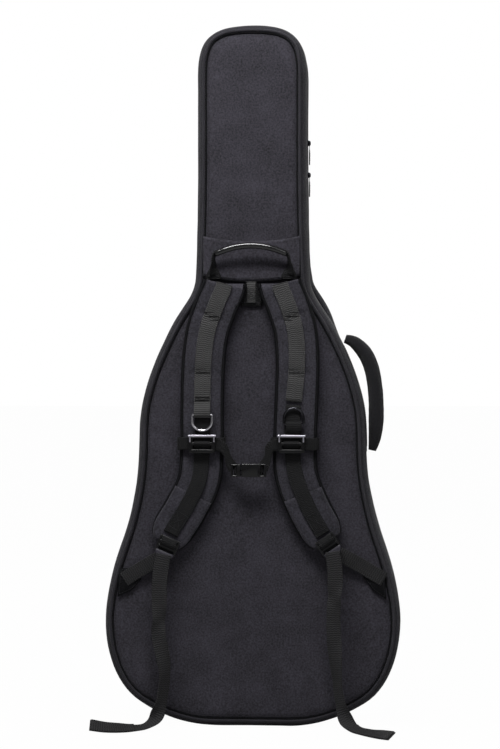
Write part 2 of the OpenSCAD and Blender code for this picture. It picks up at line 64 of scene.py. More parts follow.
def add_camera():
    data = bpy.data.cameras.new("camera")
    data.lens = LENS
    data.sensor_width = 36
    cam = bpy.data.objects.new("camera", data)
    away = Vector((math.sin(VIEW_AZIMUTH), -math.cos(VIEW_AZIMUTH), 0))
    cam.location = VIEW_TARGET + away * VIEW_DISTANCE
    cam.rotation_euler = (-away).to_track_quat("-Z", "Y").to_euler()
    bpy.context.scene.collection.objects.link(cam)
    bpy.context.scene.camera = cam


add_camera()

# ---------------------------------------------------------------- sizes, in millimetres
BAG_LENGTH = 1080
ZIP_Y = 12
BACK_SEAM = ZIP_Y - 76
FRONT_SEAM = ZIP_Y + 46
BULGE = 12
CROWN = 6
YOKE_Z = 690.5
PANEL_FACE = BACK_SEAM - CROWN
STRAP_W, STRAP_T = 67, 12
STRAP_Y = BACK_SEAM - 17
WEB_W, WEB_T = 25, 1.6
WEB_Y = STRAP_Y - STRAP_T / 2 - 2.6
CHEST_Z = 436
SEED = 7

# Stations of the outline's right half: x, z and heading in degrees
STATIONS = [(0, 0, 0), (60, 0, 0), (174, 36, 33), (228, 160, 90), (202, 283, 109), (176, 410, 93),
            (170, 500, 102), (121, 623, 119), (88, 690, 93), (84, BAG_LENGTH - 80, 90),
            (69, BAG_LENGTH - 20, 131), (32, BAG_LENGTH - 2, 172), (0, BAG_LENGTH, 180)]


def outline(per=14):
    """The closed outline, anticlockwise from the middle of the base, as x and z."""
    right = []
    for (x0, z0, a0), (x1, z1, a1) in zip(STATIONS, STATIONS[1:]):
        reach = math.hypot(x1 - x0, z1 - z0)
        for k in range(per):
            t = k / per
            h1, h2 = 2 * t**3 - 3 * t**2 + 1, t**3 - 2 * t**2 + t
            h3, h4 = 1 - h1, t**3 - t**2
            ra, rb = math.radians(a0), math.radians(a1)
            right.append((h1 * x0 + h2 * reach * math.cos(ra) + h3 * x1 + h4 * reach * math.cos(rb),
                          h1 * z0 + h2 * reach * math.sin(ra) + h3 * z1 + h4 * reach * math.sin(rb)))
    left = [(-x, z) for x, z in reversed(right[1:])]
    return np.array(right + [(0, BAG_LENGTH)] + left)


EDGE = outline()
_along = np.roll(EDGE, -1, 0) - np.roll(EDGE, 1, 0)
_along /= np.linalg.norm(_along, axis=1)[:, None]
INWARD = np.stack([-_along[:, 1], _along[:, 0]], 1)
EDGE_RUN = np.concatenate([[0], np.cumsum(np.linalg.norm(np.diff(EDGE, axis=0), axis=1))])


def inset(d):
    """The outline moved inwards by d."""
    return EDGE + INWARD * d


def half_at(z, d=0):
    """Half width of the inset outline at height z."""
    ring = inset(d)[: len(EDGE) // 2 + 1]
    low = np.argmax(ring[:, 0])
    return float(np.interp(z, ring[low:, 1], ring[low:, 0])) if z > ring[low, 1] else float(
        np.interp(z, ring[: low + 1, 1], ring[: low + 1, 0]))


def ripple(x, y, z, size, amount, seed=0):
    """Smooth noise in millimetres, for the small unevenness of padded cloth."""
    p = Vector((x / size + seed * 3.7, y / size + SEED, z / size))
    return amount * noise.noise(p)


# ---------------------------------------------------------------- shader expressions
class Sock:
    """One node socket, or a number, that arithmetic can be written on."""

    def __init__(self, tree, value):
        self.tree, self.value = tree, value

    def math(self, op, *others):
        out = node(self.tree, "ShaderNodeMath", {"operation": op}, {i: v for i, v in enumerate((self,) + others)})
        return Sock(self.tree, out.outputs[0])

    def __add__(self, o): return self.math("ADD", o)
    def __sub__(self, o): return self.math("SUBTRACT", o)
    def __mul__(self, o): return self.math("MULTIPLY", o)
    def __rsub__(self, o): return Sock(self.tree, o).math("SUBTRACT", self)
    __radd__ = __add__
    __rmul__ = __mul__

    def sin(self): return self.math("SINE")
    def abs(self): return self.math("ABSOLUTE")
    def fract(self): return self.math("FRACT")
    def above(self, o): return self.math("GREATER_THAN", o)


def node(tree, kind, settings=None, inputs=None):
    """Any other node: its settings first, then the values or links of its sockets."""
    made = tree.nodes.new(kind)
    for key, value in (settings or {}).items():
        setattr(made, key, value)
    for key, value in (inputs or {}).items():
        value = value.value if isinstance(value, Sock) else value
        if isinstance(value, bpy.types.NodeSocket):
            tree.links.new(value, made.inputs[key])
        else:
            made.inputs[key].default_value = value
    return made


def blend_colors(tree, mask, a, b):
    mix = node(tree, "ShaderNodeMix", {"data_type": "RGBA"}, {0: mask, 6: a, 7: b})
    return Sock(tree, mix.outputs[2])


class Finish:
    """A material under way: its tree, its shader and the coordinates in millimetres."""

    def __init__(self, name, color, roughness, metallic=0.0, sheen=0.0, specular=0.5, coat=0.0):
        self.material = bpy.data.materials.new(name)
        self.material.use_nodes = True
        self.tree = self.material.node_tree
        self.shader = self.tree.nodes["Principled BSDF"]
        self.color = (*color, 1)
        values = {"Base Color": self.color, "Roughness": roughness, "Metallic": metallic,
                  "Sheen Weight": sheen, "Sheen Roughness": 0.5, "Specular IOR Level": specular, "Coat Weight": coat}
        for key, value in values.items():
            self.shader.inputs[key].default_value = value
        coords = node(self.tree, "ShaderNodeTexCoord")
        self.place = coords.outputs["Object"]
        split = node(self.tree, "ShaderNodeSeparateXYZ", None, {0: coords.outputs["UV"]})
        self.u = Sock(self.tree, split.outputs[0]) * 1000
        self.v = Sock(self.tree, split.outputs[1]) * 1000

    def noise(self, scale, detail=3.0, where=None):
        made = node(self.tree, "ShaderNodeTexNoise", None,
                    {"Vector": where or self.place, "Scale": scale, "Detail": detail})
        return Sock(self.tree, made.outputs["Fac"])

    def link(self, socket, value):
        self.tree.links.new(value.value, self.shader.inputs[socket])

    def bump(self, height, depth_mm, strength=1.0):
        made = node(self.tree, "ShaderNodeBump", None,
                    {"Height": height, "Distance": depth_mm * MM, "Strength": strength})
        self.tree.links.new(made.outputs[0], self.shader.inputs["Normal"])

    def shade(self, mask, low, high):
        """Base colour that runs between two tints of the finish's own colour."""
        dark = tuple(c * low for c in self.color[:3]) + (1,)
        light = tuple(min(1, c * high) for c in self.color[:3]) + (1,)
        self.link("Base Color", blend_colors(self.tree, mask, dark, light))


def woven_cloth(name, color, yarn=1.1, contrast=1.0):
    """Plain weave: warp over weft by turns, heathered yarn and a soft mottle."""
    f = Finish(name, color, 0.86, sheen=0.08, specular=0.25)
    turn = math.pi / yarn
    warp = (f.u * turn).sin()
    weft = (f.v * turn).sin()
    over = (warp * weft).above(0.0)
    height = over * warp.abs() + (1 - over) * weft.abs()
    slub = f.noise(360, 3)
    heather = f.noise(900, 2)
    mottle = f.noise(26, 4)
    tone = height * 0.2 + slub * 2.0 * contrast + heather * 0.9 * contrast + mottle * 0.9 - 1.5
    f.shade(tone, 0.42, 1.75)
    f.bump(height * 0.7 + slub * 1.2, 0.5, 0.8)
    return f.material


def ribbed_webbing(name, color, pitch=3.1, contrast=1.0, sheen=0.15, specular=0.35):
    """Strap webbing: twilled ribs across the band, worn edges and a dusty surface."""
    f = Finish(name, color, 0.66, sheen=sheen, specular=specular)
    chevron = ((f.u + f.noise(90, 2) * 1.6) * 0.16).fract() - 0.5
    rib = ((f.v + chevron.abs() * 2.6) * (TAU / pitch)).sin()
    cross = (f.u * (TAU / 1.5)).sin()
    fuzz = f.noise(620, 3)
    wear = f.noise(34, 3)
    height = rib * 0.5 + cross * rib * 0.25 + fuzz * 0.5
    f.shade((rib * 0.26 * contrast + cross * 0.08 + fuzz * 0.7 + wear * 0.5 - 0.1), 0.35, 1.9)
    f.link("Roughness", fuzz * 0.25 + 0.5)
    f.bump(height, 0.6, 0.8)
    return f.material


GRAIN_SCALE = 1400


def moulded(name, color, roughness, grain=0.03, specular=0.5, metallic=0.0, coat=0.0):
    """Moulded plastic, rubber or plated metal with a fine grain and handling marks."""
    f = Finish(name, color, roughness, metallic=metallic, specular=specular, coat=coat)
    smear = f.noise(60, 4)
    f.link("Roughness", smear * 0.22 + (roughness - 0.11))
    f.shade(smear, 0.75, 1.3)
    f.bump(f.noise(GRAIN_SCALE, 2), grain, 0.6)
    return f.material


def pile_cloth(name, color):
    """Plush lining: short pile that lies in patches."""
    f = Finish(name, color, 0.95, sheen=0.8, specular=0.2)
    pile = f.noise(420, 5)
    patch = f.noise(22, 2)
    f.shade(pile * 0.6 + patch * 0.5, 0.5, 1.7)
    f.bump(pile + patch, 1.2, 0.7)
    return f.material


MAT = {
    "cloth": woven_cloth("outer_cloth", (0.0265, 0.0245, 0.0325)),
    "wall": woven_cloth("side_wall_cloth", (0.0150, 0.0140, 0.0185)),
    "strap": woven_cloth("strap_cloth", (0.025, 0.0235, 0.031)),
    # Near-black edge tape: the binding's own dark colour plus painted shade along the pads' inner edges
    "binding": ribbed_webbing("binding_and_painted_shade", (0.0042, 0.0042, 0.0052), 1.6, 0.5, 0.0, 0.1),
    "webbing": ribbed_webbing("strap_webbing", (0.0225, 0.0222, 0.0225)),
    # Darker copy of the strap webbing for the tails and lower runs: painted shade of the bag's lower part, where light
    # falls off
    "shaded_tail_web": ribbed_webbing("painted_shade_webbing", (0.0125, 0.0122, 0.0132), 3.4, 1.6, 0.04, 0.22),
    "dark_web": ribbed_webbing("folded_webbing", (0.0050, 0.0050, 0.0056), 2.6, 2.0, 0.02, 0.16),
    "piping": ribbed_webbing("piping_cord", (0.0185, 0.0175, 0.0225), 1.4, 0.5, 0.05, 0.2),
    "plastic": moulded("buckle_plastic", (0.0028, 0.0028, 0.0033), 0.3, specular=0.34, coat=0.1),
    "rubber": moulded("grip_rubber", (0.005, 0.005, 0.0055), 0.2, 0.02, coat=0.5),
    "smooth": woven_cloth("handle_cloth", (0.014, 0.0135, 0.018), 0.6, 0.6),
    # Bright silver for the adjusters' lips and rail tops: painted highlight, the lamp's reflection on black plastic
    "painted_glint": moulded("painted_highlight_edge", (0.62, 0.6, 0.68), 0.3, 0.01, metallic=0.9),
    "tongue": moulded("matt_plastic", (0.021, 0.019, 0.028), 0.45, specular=0.4),
    # Bright silver for the left D-ring: painted reflection of the lamp on a ring as black as the right one
    "metal": moulded("painted_reflection_metal", (0.72, 0.71, 0.76), 0.2, 0.01, metallic=1.0),
    "gunmetal": moulded("black_nickel", (0.05, 0.05, 0.057), 0.22, 0.01, metallic=1.0),
    "thread": moulded("thread", (0.022, 0.0215, 0.025), 0.7, 0.02, specular=0.25),
    # Near-black thread for the bar tacks: the stitching plus painted shade of the tack creases
    "tack_thread_and_shade": moulded("tack_thread_and_shade", (0.004, 0.004, 0.0045), 0.8, 0.02, specular=0.15),
    "plush": pile_cloth("plush_lining", (0.075, 0.075, 0.09)),
}

# ---------------------------------------------------------------- meshes


def piece(name, verts, faces, mat, body, replaces=(), uvs=None, slot=None, flat=False):
    """A mesh piece from millimetre points, riding on a body of the frame."""
    mesh = bpy.data.meshes.new(name)
    mesh.from_pydata([tuple(c * MM for c in v) for v in verts], [], [tuple(map(int, f)) for f in faces])
    layer = mesh.uv_layers.new(name="UV")
    if uvs is None:
        uvs = [(v[0], v[2]) for v in verts]
    at = np.empty(len(mesh.loops), dtype=np.int64)
    mesh.loops.foreach_get("vertex_index", at)
    layer.data.foreach_set("uv", (np.array(uvs, dtype=float)[at] * MM).ravel())
    mesh.polygons.foreach_set("use_smooth", [not flat] * len(mesh.polygons))
    mesh.materials.append(MAT[mat])
    obj = bpy.data.objects.new(name, mesh)
    bpy.context.scene.collection.objects.link(obj)
    if body:
        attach(obj, body)
    if replaces:
        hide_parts(*replaces)
    return obj


class Build:
    """Points, faces and texture places gathered for one piece."""

    def __init__(self):
        self.verts, self.faces, self.uvs = [], [], []

    def rings(self, rings, closed_ring=True, closed_run=False, caps=True, run=None, lap=None):
        """Skin rows of points: each row a ring, or an open strip; run and lap are their lengths."""
        base, m, n = len(self.verts), len(rings[0]), len(rings)
        run = run if run is not None else np.concatenate([[0], np.cumsum([
            np.linalg.norm(np.mean(b, 0) - np.mean(a, 0)) for a, b in zip(rings, rings[1:])])])
        if lap is None:
            first = np.array(rings[n // 2], dtype=float)
            lap = np.concatenate([[0], np.cumsum(np.linalg.norm(np.diff(first, axis=0), axis=1))])
        for i, ring in enumerate(rings):
            for j, p in enumerate(ring):
                self.verts.append(tuple(p))
                self.uvs.append((lap[j], run[i]))
        for i in range(n if closed_run else n - 1):
            for j in range(m if closed_ring else m - 1):
                a, b = i * m + j, i * m + (j + 1) % m
                c, d = ((i + 1) % n) * m + (j + 1) % m, ((i + 1) % n) * m + j
                self.faces.append((base + a, base + b, base + c, base + d))
        if caps and closed_ring and not closed_run:
            self.faces.append(tuple(base + j for j in reversed(range(m))))
            self.faces.append(tuple(base + (n - 1) * m + j for j in range(m)))
        return self

    def block(self, lo, hi):
        """A plain small box, such as a zipper tooth."""
        base = len(self.verts)
        for k in range(8):
            self.verts.append(tuple(hi[a] if k >> a & 1 else lo[a] for a in range(3)))
            self.uvs.append((self.verts[-1][0], self.verts[-1][2]))
        for f in ((0, 2, 3, 1), (4, 5, 7, 6), (0, 1, 5, 4), (2, 6, 7, 3), (0, 4, 6, 2), (1, 3, 7, 5)):
            self.faces.append(tuple(base + i for i in f))

    def make(self, name, mat, body, **extra):
        obj = piece(name, self.verts, self.faces, mat, body, uvs=self.uvs, **extra)
        fix_normals(obj)
        return obj


def fix_normals(obj):
    bm = bmesh.new()
    bm.from_mesh(obj.data)
    bmesh.ops.recalc_face_normals(bm, faces=bm.faces)
    bm.to_mesh(obj.data)
    bm.free()


def smooth_route(points, per=6):
    """A smooth curve through given points."""
    pts = [np.array(p, dtype=float) for p in points]
    out = []
    for i in range(len(pts) - 1):
        p0, p1, p2, p3 = pts[max(i - 1, 0)], pts[i], pts[i + 1], pts[min(i + 2, len(pts) - 1)]
        for k in range(per):
            t = k / per
            out.append(0.5 * (2 * p1 + (p2 - p0) * t + (2 * p0 - 5 * p1 + 4 * p2 - p3) * t * t
                              + (3 * p1 - p0 - 3 * p2 + p3) * t**3))
    return out + [pts[-1]]


def frames(route, outward=(0, -1, 0)):
    """Along, sideways and outward directions at each point; outward may be one per point."""
    made = []
    for i in range(len(route)):
        along = route[min(i + 1, len(route) - 1)] - route[max(i - 1, 0)]
        along = along / np.linalg.norm(along)
        face = np.array(outward[i] if np.ndim(outward) > 1 else outward, dtype=float)
        side = np.cross(along, face)
        side /= np.linalg.norm(side)
        made.append((along, side, np.cross(side, along)))
    return made


def rounded(wave, power):
    """A sine or cosine flattened by a power, so that a circle turns into a rounded box."""
    return math.copysign(abs(wave) ** power, wave)


def ribbon_section(w, t):
    """Flat band with rounded edges."""
    h, q = w / 2, t / 2
    return [(-h, 0), (-h + q * 0.5, -q * 0.9), (-h + 1.5, -q), (-h / 3, -q), (h / 3, -q), (h - 1.5, -q),
            (h - q * 0.5, -q * 0.9), (h, 0), (h - q * 0.5, q * 0.9), (h - 1.5, q), (h / 3, q), (-h / 3, q),
            (-h + 1.5, q), (-h + q * 0.5, q * 0.9)]


def ribbon(build, route, w=WEB_W, t=WEB_T, outward=(0, -1, 0), width_at=None):
    """Webbing along a route, its face turned outward."""
    rings = []
    for i, (p, (_, side, out)) in enumerate(zip(route, frames(route, outward))):
        scale = width_at(i / (len(route) - 1)) if width_at else 1
        rings.append([p + side * a * scale + out * b for a, b in ribbon_section(w, t)])
    return build.rings(rings, lap=[a for a, _ in ribbon_section(w, t)])


def tube(build, route, r, sides=10, closed=False, radius_at=None):
    """A round cord along a route."""
    rings = []
    pts = [np.array(p, dtype=float) for p in route]
    n = len(pts)
    for i, p in enumerate(pts):
        nxt = pts[(i + 1) % n] if closed else pts[min(i + 1, n - 1)]
        prv = pts[i - 1] if closed else pts[max(i - 1, 0)]
        along = (nxt - prv) / np.linalg.norm(nxt - prv)
        ref = np.array((0, 1, 0)) if abs(along[1]) < 0.9 else np.array((1, 0, 0))
        side = np.cross(along, ref)
        side /= np.linalg.norm(side)
        up = np.cross(side, along)
        rr = radius_at(i / max(1, n - 1)) if radius_at else r
        rings.append([p + (side * math.cos(TAU * k / sides) + up * math.sin(TAU * k / sides)) * rr
                      for k in range(sides)])
    return build.rings(rings, closed_run=closed)


def stitches(build, route, pitch=3.2, length=2.2, r=0.35, lift=0.15, outward=(0, -1, 0)):
    """A row of thread stitches along a route."""
    pts = np.array(route, dtype=float)
    run = np.concatenate([[0], np.cumsum(np.linalg.norm(np.diff(pts, axis=0), axis=1))])
    face = np.array(outward, dtype=float)
    for s in np.arange(pitch / 2, run[-1] - length, pitch):
        a = np.array([np.interp(s, run, pts[:, k]) for k in range(3)])
        b = np.array([np.interp(s + length, run, pts[:, k]) for k in range(3)])
        line = [a, a * 0.75 + b * 0.25 + face * lift, a * 0.25 + b * 0.75 + face * lift, b]
        tube(build, line, r, 5, radius_at=lambda t: r * (0.45 + 0.55 * math.sin(math.pi * min(1, max(0, t)))))
    return build

# ---------------------------------------------------------------- loose strap tails
# Route points: x, y, z and the tilt of the face from upright to lying
TAILS = {
    "left": [(-132, -98, 268, 0), (-137, -98, 242, 0), (-139, -98, 215, 0), (-139, -98, 176, 0), (-140, -99, 147, 5),
             (-131, -99, 96, 8), (-133, -100, 58, 14), (-142, -103, 24, 48), (-157, -108, 9, 76),
             (-177, -114, 6, 76), (-198, -121, 7, 66), (-219, -127, 9, 60), (-241, -131, 13, 56)],
    "right": [(124, -98, 273, 0), (128, -98, 245, 0), (128, -98, 215, 0), (126, -98, 176, 0), (127, -99, 140, 5),
              (130, -100, 96, 8), (134, -101, 56, 14), (143, -106, 24, 48), (157, -118, 9, 76),
              (175, -132, 6, 76), (194, -146, 6, 70), (213, -158, 6, 68)],
}


def tail_width(t):
    """The tail leans and curls a little, so its face shows narrower in places."""
    return 0.9 - 0.08 * math.exp(-((t - 0.27) / 0.05) ** 2) + 0.03 * math.sin(t * 9)


def tail_twist(z, side):
    """Degrees the hanging tail has turned about its own run at height z."""
    kink = 34 * math.exp(-((z - (168 if side == "left" else 205)) / 13) ** 2)
    low = min(1, max(0, (150 - z) / 80))
    return kink + 50 * low * low * (3 - 2 * low) * min(1, max(0, (z - 12) / 30))


def add_tail(side):
    route4 = smooth_route(TAILS[side], 8)
    route = [p[:3] for p in route4]
    lean = 1 if side == "left" else -1
    sway = [math.radians(ripple(p[0], 0, p[2], 40, 10, seed=3 if side == "left" else 5) + lean * tail_twist(p[2], side))
            for p in route]
    face = [(math.sin(s), -math.cos(s) * math.cos(math.radians(p[3])), math.cos(s) * math.sin(math.radians(p[3])))
            for p, s in zip(route4, sway)]
    build = ribbon(Build(), route, outward=face, width_at=tail_width)
    hem = [p + np.array(f) * (WEB_T * 0.95) for p, f in zip(route[-26:-1], face[-26:-1])]
    ribbon(build, hem, outward=face[-26:-1], width_at=lambda t: 0.9)
    # The tail takes the darker webbing: painted shade of the bag's lower part
    obj = build.make("tail_" + side, "shaded_tail_web", "strap_end_" + side, replaces=("strap_tail_" + side,))
    length = sum(float(np.linalg.norm(b - a)) for a, b in zip(route, route[1:]))
    tuple(route[0] * MM)
    [tuple(p * MM) for p in route]


for side in TAILS:
    add_tail(side)

# ---------------------------------------------------------------- shells
WALL_T = 1.6


def wall_profile(seam, zip_edge, s, steps=9):
    """Section of a side wall: outer skin from seam to zipper, then the inner skin back."""
    deep = abs(zip_edge - seam)
    outer = []
    for k in range(steps):
        a = math.pi / 2 * k / (steps - 1)
        outer.append((BULGE * (1 - math.sin(a)) ** 1.15, seam + s * 20 * (1 - math.cos(a))))
    for part in (0.25, 0.5, 0.75):
        outer.append((-0.9 * math.sin(math.pi * part), seam + s * (20 + (deep - 34) * part)))
    outer += [(0, zip_edge - s * 14), (0.7, zip_edge - s * 7), (1.8, zip_edge - s * 3), (3, zip_edge)]
    inner = [(d + WALL_T, y) for d, y in reversed(outer[2:])]
    return outer + inner + [(BULGE + WALL_T, seam + s * 1.2)]


def shoulder_bulge(x, y, z):
    """The full front compartment pushes the right wall out below the neck."""
    if x < 0 or y < 0 or z < 560 or z > 715:
        return 0
    return 8.5 * math.exp(-((z - 655) / 34) ** 2) * min(1, y / 20)


def hoop_piece(name, profile, mat, body, replaces, wrinkle=0.8, seed=0, **extra):
    rings = []
    for d, y in profile:
        ring = inset(d)
        rings.append([(x + nx * w, y, z + nz * w) for (x, z), (nx, nz) in zip(ring, INWARD)
                      for w in (ripple(x, y, z, 70, wrinkle, seed) + ripple(x, y * 1.5, z, 24, wrinkle * 0.4, seed)
                                - shoulder_bulge(x, y, z),)])
    run = np.concatenate([[0], np.cumsum([math.dist(a, b) for a, b in zip(profile, profile[1:])])])
    rings = [[(p[0], p[1], max(0.0, p[2])) for p in r] for r in rings]
    build = Build().rings(rings, closed_run=True, lap=EDGE_RUN, run=run)
    return build.make(name, mat, body, replaces=replaces, **extra)


def edge_distance(points, d):
    """How far inside the outline, inset by d, each point of x and z lies."""
    ring = inset(d)
    fine = np.concatenate([ring + (np.roll(ring, -1, 0) - ring) * t for t in (0, 0.25, 0.5, 0.75)])
    out = np.empty(len(points))
    for i in range(0, len(points), 4000):
        gap = points[i:i + 4000, None] - fine[None]
        out[i:i + 4000] = np.sqrt((gap**2).sum(2).min(1))
    return out


def filled_outline(d, cols=84, rows=230):
    """A grid of x and z that fills the inset outline, rows from low to high."""
    ring = inset(d)
    z0, z1 = ring[:, 1].min() + 0.02, ring[:, 1].max() - 0.02
    grid = []
    for r in range(rows + 1):
        v = 0.5 - 0.5 * math.cos(math.pi * r / rows)
        v = 0.35 * v + 0.65 * r / rows
        z = z0 + (z1 - z0) * v
        w = half_at(z, d)
        grid.append([(w * math.sin(math.pi / 2 * (0.55 * u + 0.45 * u**3)), z)
                     for u in (2 * c / cols - 1 for c in range(cols + 1))])
    return np.array(grid)


def panel_piece(name, d, seam, s, crown, mat, body, replaces, dents=(), back_t=1.6, seed=0, rows=230, roll=7.0,
                wrinkle=1.5):
    """A padded panel: rolled at its seam, crowned, with soft dents; s is +1 or -1 for its side."""
    grid = filled_outline(d, rows=rows)
    flat = grid.reshape(-1, 2)
    deep = edge_distance(flat, d)
    rise = 1 - np.exp(-deep / roll)
    rise = rise * 0.94 + 0.06 * np.minimum(1, deep / 45)
    verts = []
    for (x, z), q in zip(flat, rise):
        lift = crown * q
        lift += q * (ripple(x, seed, z, 95, wrinkle, seed) + ripple(x, seed, z * 1.6, 34, wrinkle * 0.45, seed))
        for cx, cz, rx, rz, depth in dents:
            far = ((x - cx) / rx) ** 2 + ((z - cz) / rz) ** 2
            lift -= depth * q * math.exp(-far)
        verts.append((x, seam + s * min(lift, crown + 0.9), z))
    build = Build()
    n, m = grid.shape[:2]
    build.rings([verts[i * m:(i + 1) * m] for i in range(n)], closed_ring=False, lap=grid[n // 2, :, 0],
                run=grid[:, 0, 1])
    build.uvs = [(x, z) for x, z in flat]
    obj = build.make(name, mat, body, replaces=replaces)
    mod = obj.modifiers.new("cloth", "SOLIDIFY")
    mod.thickness = back_t * MM
    mod.offset = -1
    if (obj.data.polygons[n * m // 3].normal.y > 0) != (s > 0):
        obj.data.flip_normals()
    return obj


def seam_cord(name, d, y, r, body, replaces=(), mat="piping"):
    route = [(x, y, z) for x, z in inset(d)]
    return tube(Build(), route, r, 8, closed=True).make(name, mat, body, replaces=replaces)


def seam_stitches(name, d, y, s, body):
    route = [(x, y, z) for x, z in inset(d)]
    return stitches(Build(), route + route[:1], pitch=4.2, length=2.9, r=0.4, outward=(0, s, 0)).make(
        name, "thread", body)


hoop_piece("back_side_wall", wall_profile(BACK_SEAM, ZIP_Y - 1.5, 1), "wall", "back_shell", ("back_gusset",), seed=1)
hoop_piece("front_side_wall", wall_profile(FRONT_SEAM, ZIP_Y + 1.5, -1), "wall", "front_lid", ("front_gusset",), seed=2)
seam_cord("back_seam_piping", 10.3, BACK_SEAM - 2.3, 2.5, "back_shell", ("back_piping",))
seam_cord("front_seam_piping", 10.3, FRONT_SEAM + 2.3, 2.5, "front_lid", ("front_piping",))
BACK_DENTS = [(-150, 205, 60, 16, 1.6), (-120, 330, 14, 50, 1.2), (118, 330, 14, 50, 1.2), (20, 380, 60, 26, 0.9),
              (150, 190, 50, 20, 1.2), (0, 655, 30, 26, 1.6), (-100, 455, 26, 70, 1.0), (97, 455, 26, 70, 1.0),
              (-186, 226, 26, 26, 1.8), (188, 226, 26, 26, 1.8), (-60, 700, 22, 12, 1.2), (60, 700, 22, 12, 1.2)]
panel_piece("back_padding", 12.6, BACK_SEAM + 0.6, -1, CROWN + 0.2, "cloth", "back_shell", ("back_panel",),
            BACK_DENTS, seed=4)
panel_piece("front_padding", 12.6, FRONT_SEAM - 0.6, 1, 4, "cloth", "front_lid", ("front_panel",), seed=5, rows=150)
# Thin near-black tube just inside the back piping: painted shade in the groove between the piping and the padding
seam_cord("back_seam_shade_line", 13.9, BACK_SEAM - 1.9, 1.5, "back_shell", mat="binding")
seam_stitches("back_seam_stitches", 17.5, BACK_SEAM - 4.0, -1, "back_shell")


def liner(name, body, panel_y, zip_edge, s, replaces):
    """Plush tub inside a shell: a padded floor and its wall up to the zipper."""
    depth = abs(zip_edge - panel_y)
    rings = []
    profile = [(5, 0.0), (9, 0.3), (12.8, 0.8), (14.6, 2.5), (15.2, 6), (15.2, depth * 0.5), (15.6, depth - 9),
               (18, depth - 4), (23, depth - 0.8), (30, depth), (42, depth + 0.4)]
    for d, run in profile:
        rings.append([(x, zip_edge - s * run, z) for x, z in inset(d)])
    build = Build().rings(rings, closed_run=False, caps=False, lap=EDGE_RUN)
    build.make(name + "_wall", "plush", body, replaces=replaces)
    panel_piece(name + "_floor", 40, zip_edge - s * depth, s, 2.2, "plush", body, (), rows=90, roll=20, seed=9 + s)


liner("back_liner", "back_shell", BACK_SEAM + 18, ZIP_Y - 2, 1,
      ("back_foam", "back_lining", "back_gusset_foam", "back_gusset_lining"))
liner("front_liner", "front_lid", FRONT_SEAM - 18, ZIP_Y + 2, -1, ("front_foam", "front_lining", "front_gusset_foam"))


# ---------------------------------------------------------------- main zipper
def zipper_half(name, body, s, node_name):
    """Half of the closed zipper: its woven tape and the row of teeth on the tape's edge."""
    tape = Build()
    y0, y1 = sorted((ZIP_Y + s * 0.3, ZIP_Y + s * 1.5))
    profile = [(2.2, y0), (12.4, y0), (12.4, y1), (2.2, y1)]
    tape.rings([[(x, y, z) for x, z in inset(d)] for d, y in profile], closed_run=True, lap=EDGE_RUN)
    tape.make(name + "_tape", "webbing", body, replaces=(node_name,))
    teeth = Build()
    total = EDGE_RUN[-1]
    ring, away = inset(1.7), INWARD
    for k in range(int(total / 2.6)):
        at = (k + (0.5 if s > 0 else 0)) * 2.6
        i = min(int(np.searchsorted(EDGE_RUN, at)), len(ring) - 1)
        f = 0 if i == 0 else (at - EDGE_RUN[i - 1]) / max(1e-6, EDGE_RUN[i] - EDGE_RUN[i - 1])
        p = ring[i - 1] + (ring[i] - ring[i - 1]) * f
        along = _along[i - 1]
        out = -away[i - 1]
        corners = []
        for a, b, c in ((-0.62, 0, 0), (0.62, 0, 0), (0.62, 1.6, 0), (-0.62, 1.6, 0),
                        (-0.62, 0, 2.3), (0.62, 0, 2.3), (0.62, 1.6, 2.3), (-0.62, 1.6, 2.3)):
            q = p + along * a + out * b
            corners.append((q[0], ZIP_Y + s * (0.15 + c), q[1]))
        base = len(teeth.verts)
        teeth.verts += corners
        teeth.uvs += [(c[0], c[2]) for c in corners]
        for face in ((0, 1, 2, 3), (4, 7, 6, 5), (0, 4, 5, 1), (1, 5, 6, 2), (2, 6, 7, 3), (3, 7, 4, 0)):
            teeth.faces.append(tuple(base + q for q in face))
    teeth.make(name + "_teeth", "plastic", body, flat=True)


zipper_half("main_zip_back", "back_shell", -1, "zipper_tape_back")
zipper_half("main_zip_front", "front_lid", 1, "zipper_tape_front")

# ---------------------------------------------------------------- shoulder straps
STRAP_TOP = 680.0
STRAP_LINES = {
    "left": [(-40, STRAP_TOP), (-43, STRAP_TOP - 10), (-54, 645), (-67, 606), (-73, 556), (-75, 489), (-75, 440),
             (-79, 382), (-99, 338), (-118, 307), (-129, 285)],
    "right": [(44, STRAP_TOP), (47, STRAP_TOP - 10), (57, 645), (68, 606), (71, 556), (69, 495), (67, 436),
              (69, 390), (85, 345), (104, 309), (117, 288)],
}
PAD_FACE = STRAP_Y - STRAP_T / 2
TACKS = [(630, 6), (544, 5.5)]
RINGS = {"left": (-74, 480, 1), "right": (65.5, 466, -1)}
RING_Y = -92.65
RING_WIRE = 1.9


def tack_dip(z):
    return sum(math.exp(-((z - at) / (high * 1.5)) ** 2) for at, high in TACKS)


def crease(z):
    return sum(math.exp(-((z - at) / 3.2) ** 2) for at, _ in TACKS)


def pad_frames(side):
    """Middle line of a pad with its sideways direction and half width at each point."""
    route = smooth_route([(x, STRAP_Y, z) for x, z in STRAP_LINES[side]], 12)
    n = len(route)
    made = []
    for i, (p, (_, across, _)) in enumerate(zip(route, frames(route))):
        across = np.array((-1.0 if across[0] < 0 else 1.0, 0, 0)) if i == 0 else across
        end = max(0, (i - n + 17) / 16)
        made.append((p, across, STRAP_W / 2 * (1 - 0.3 * end * end), min(i, n - 1 - i)))
    return made


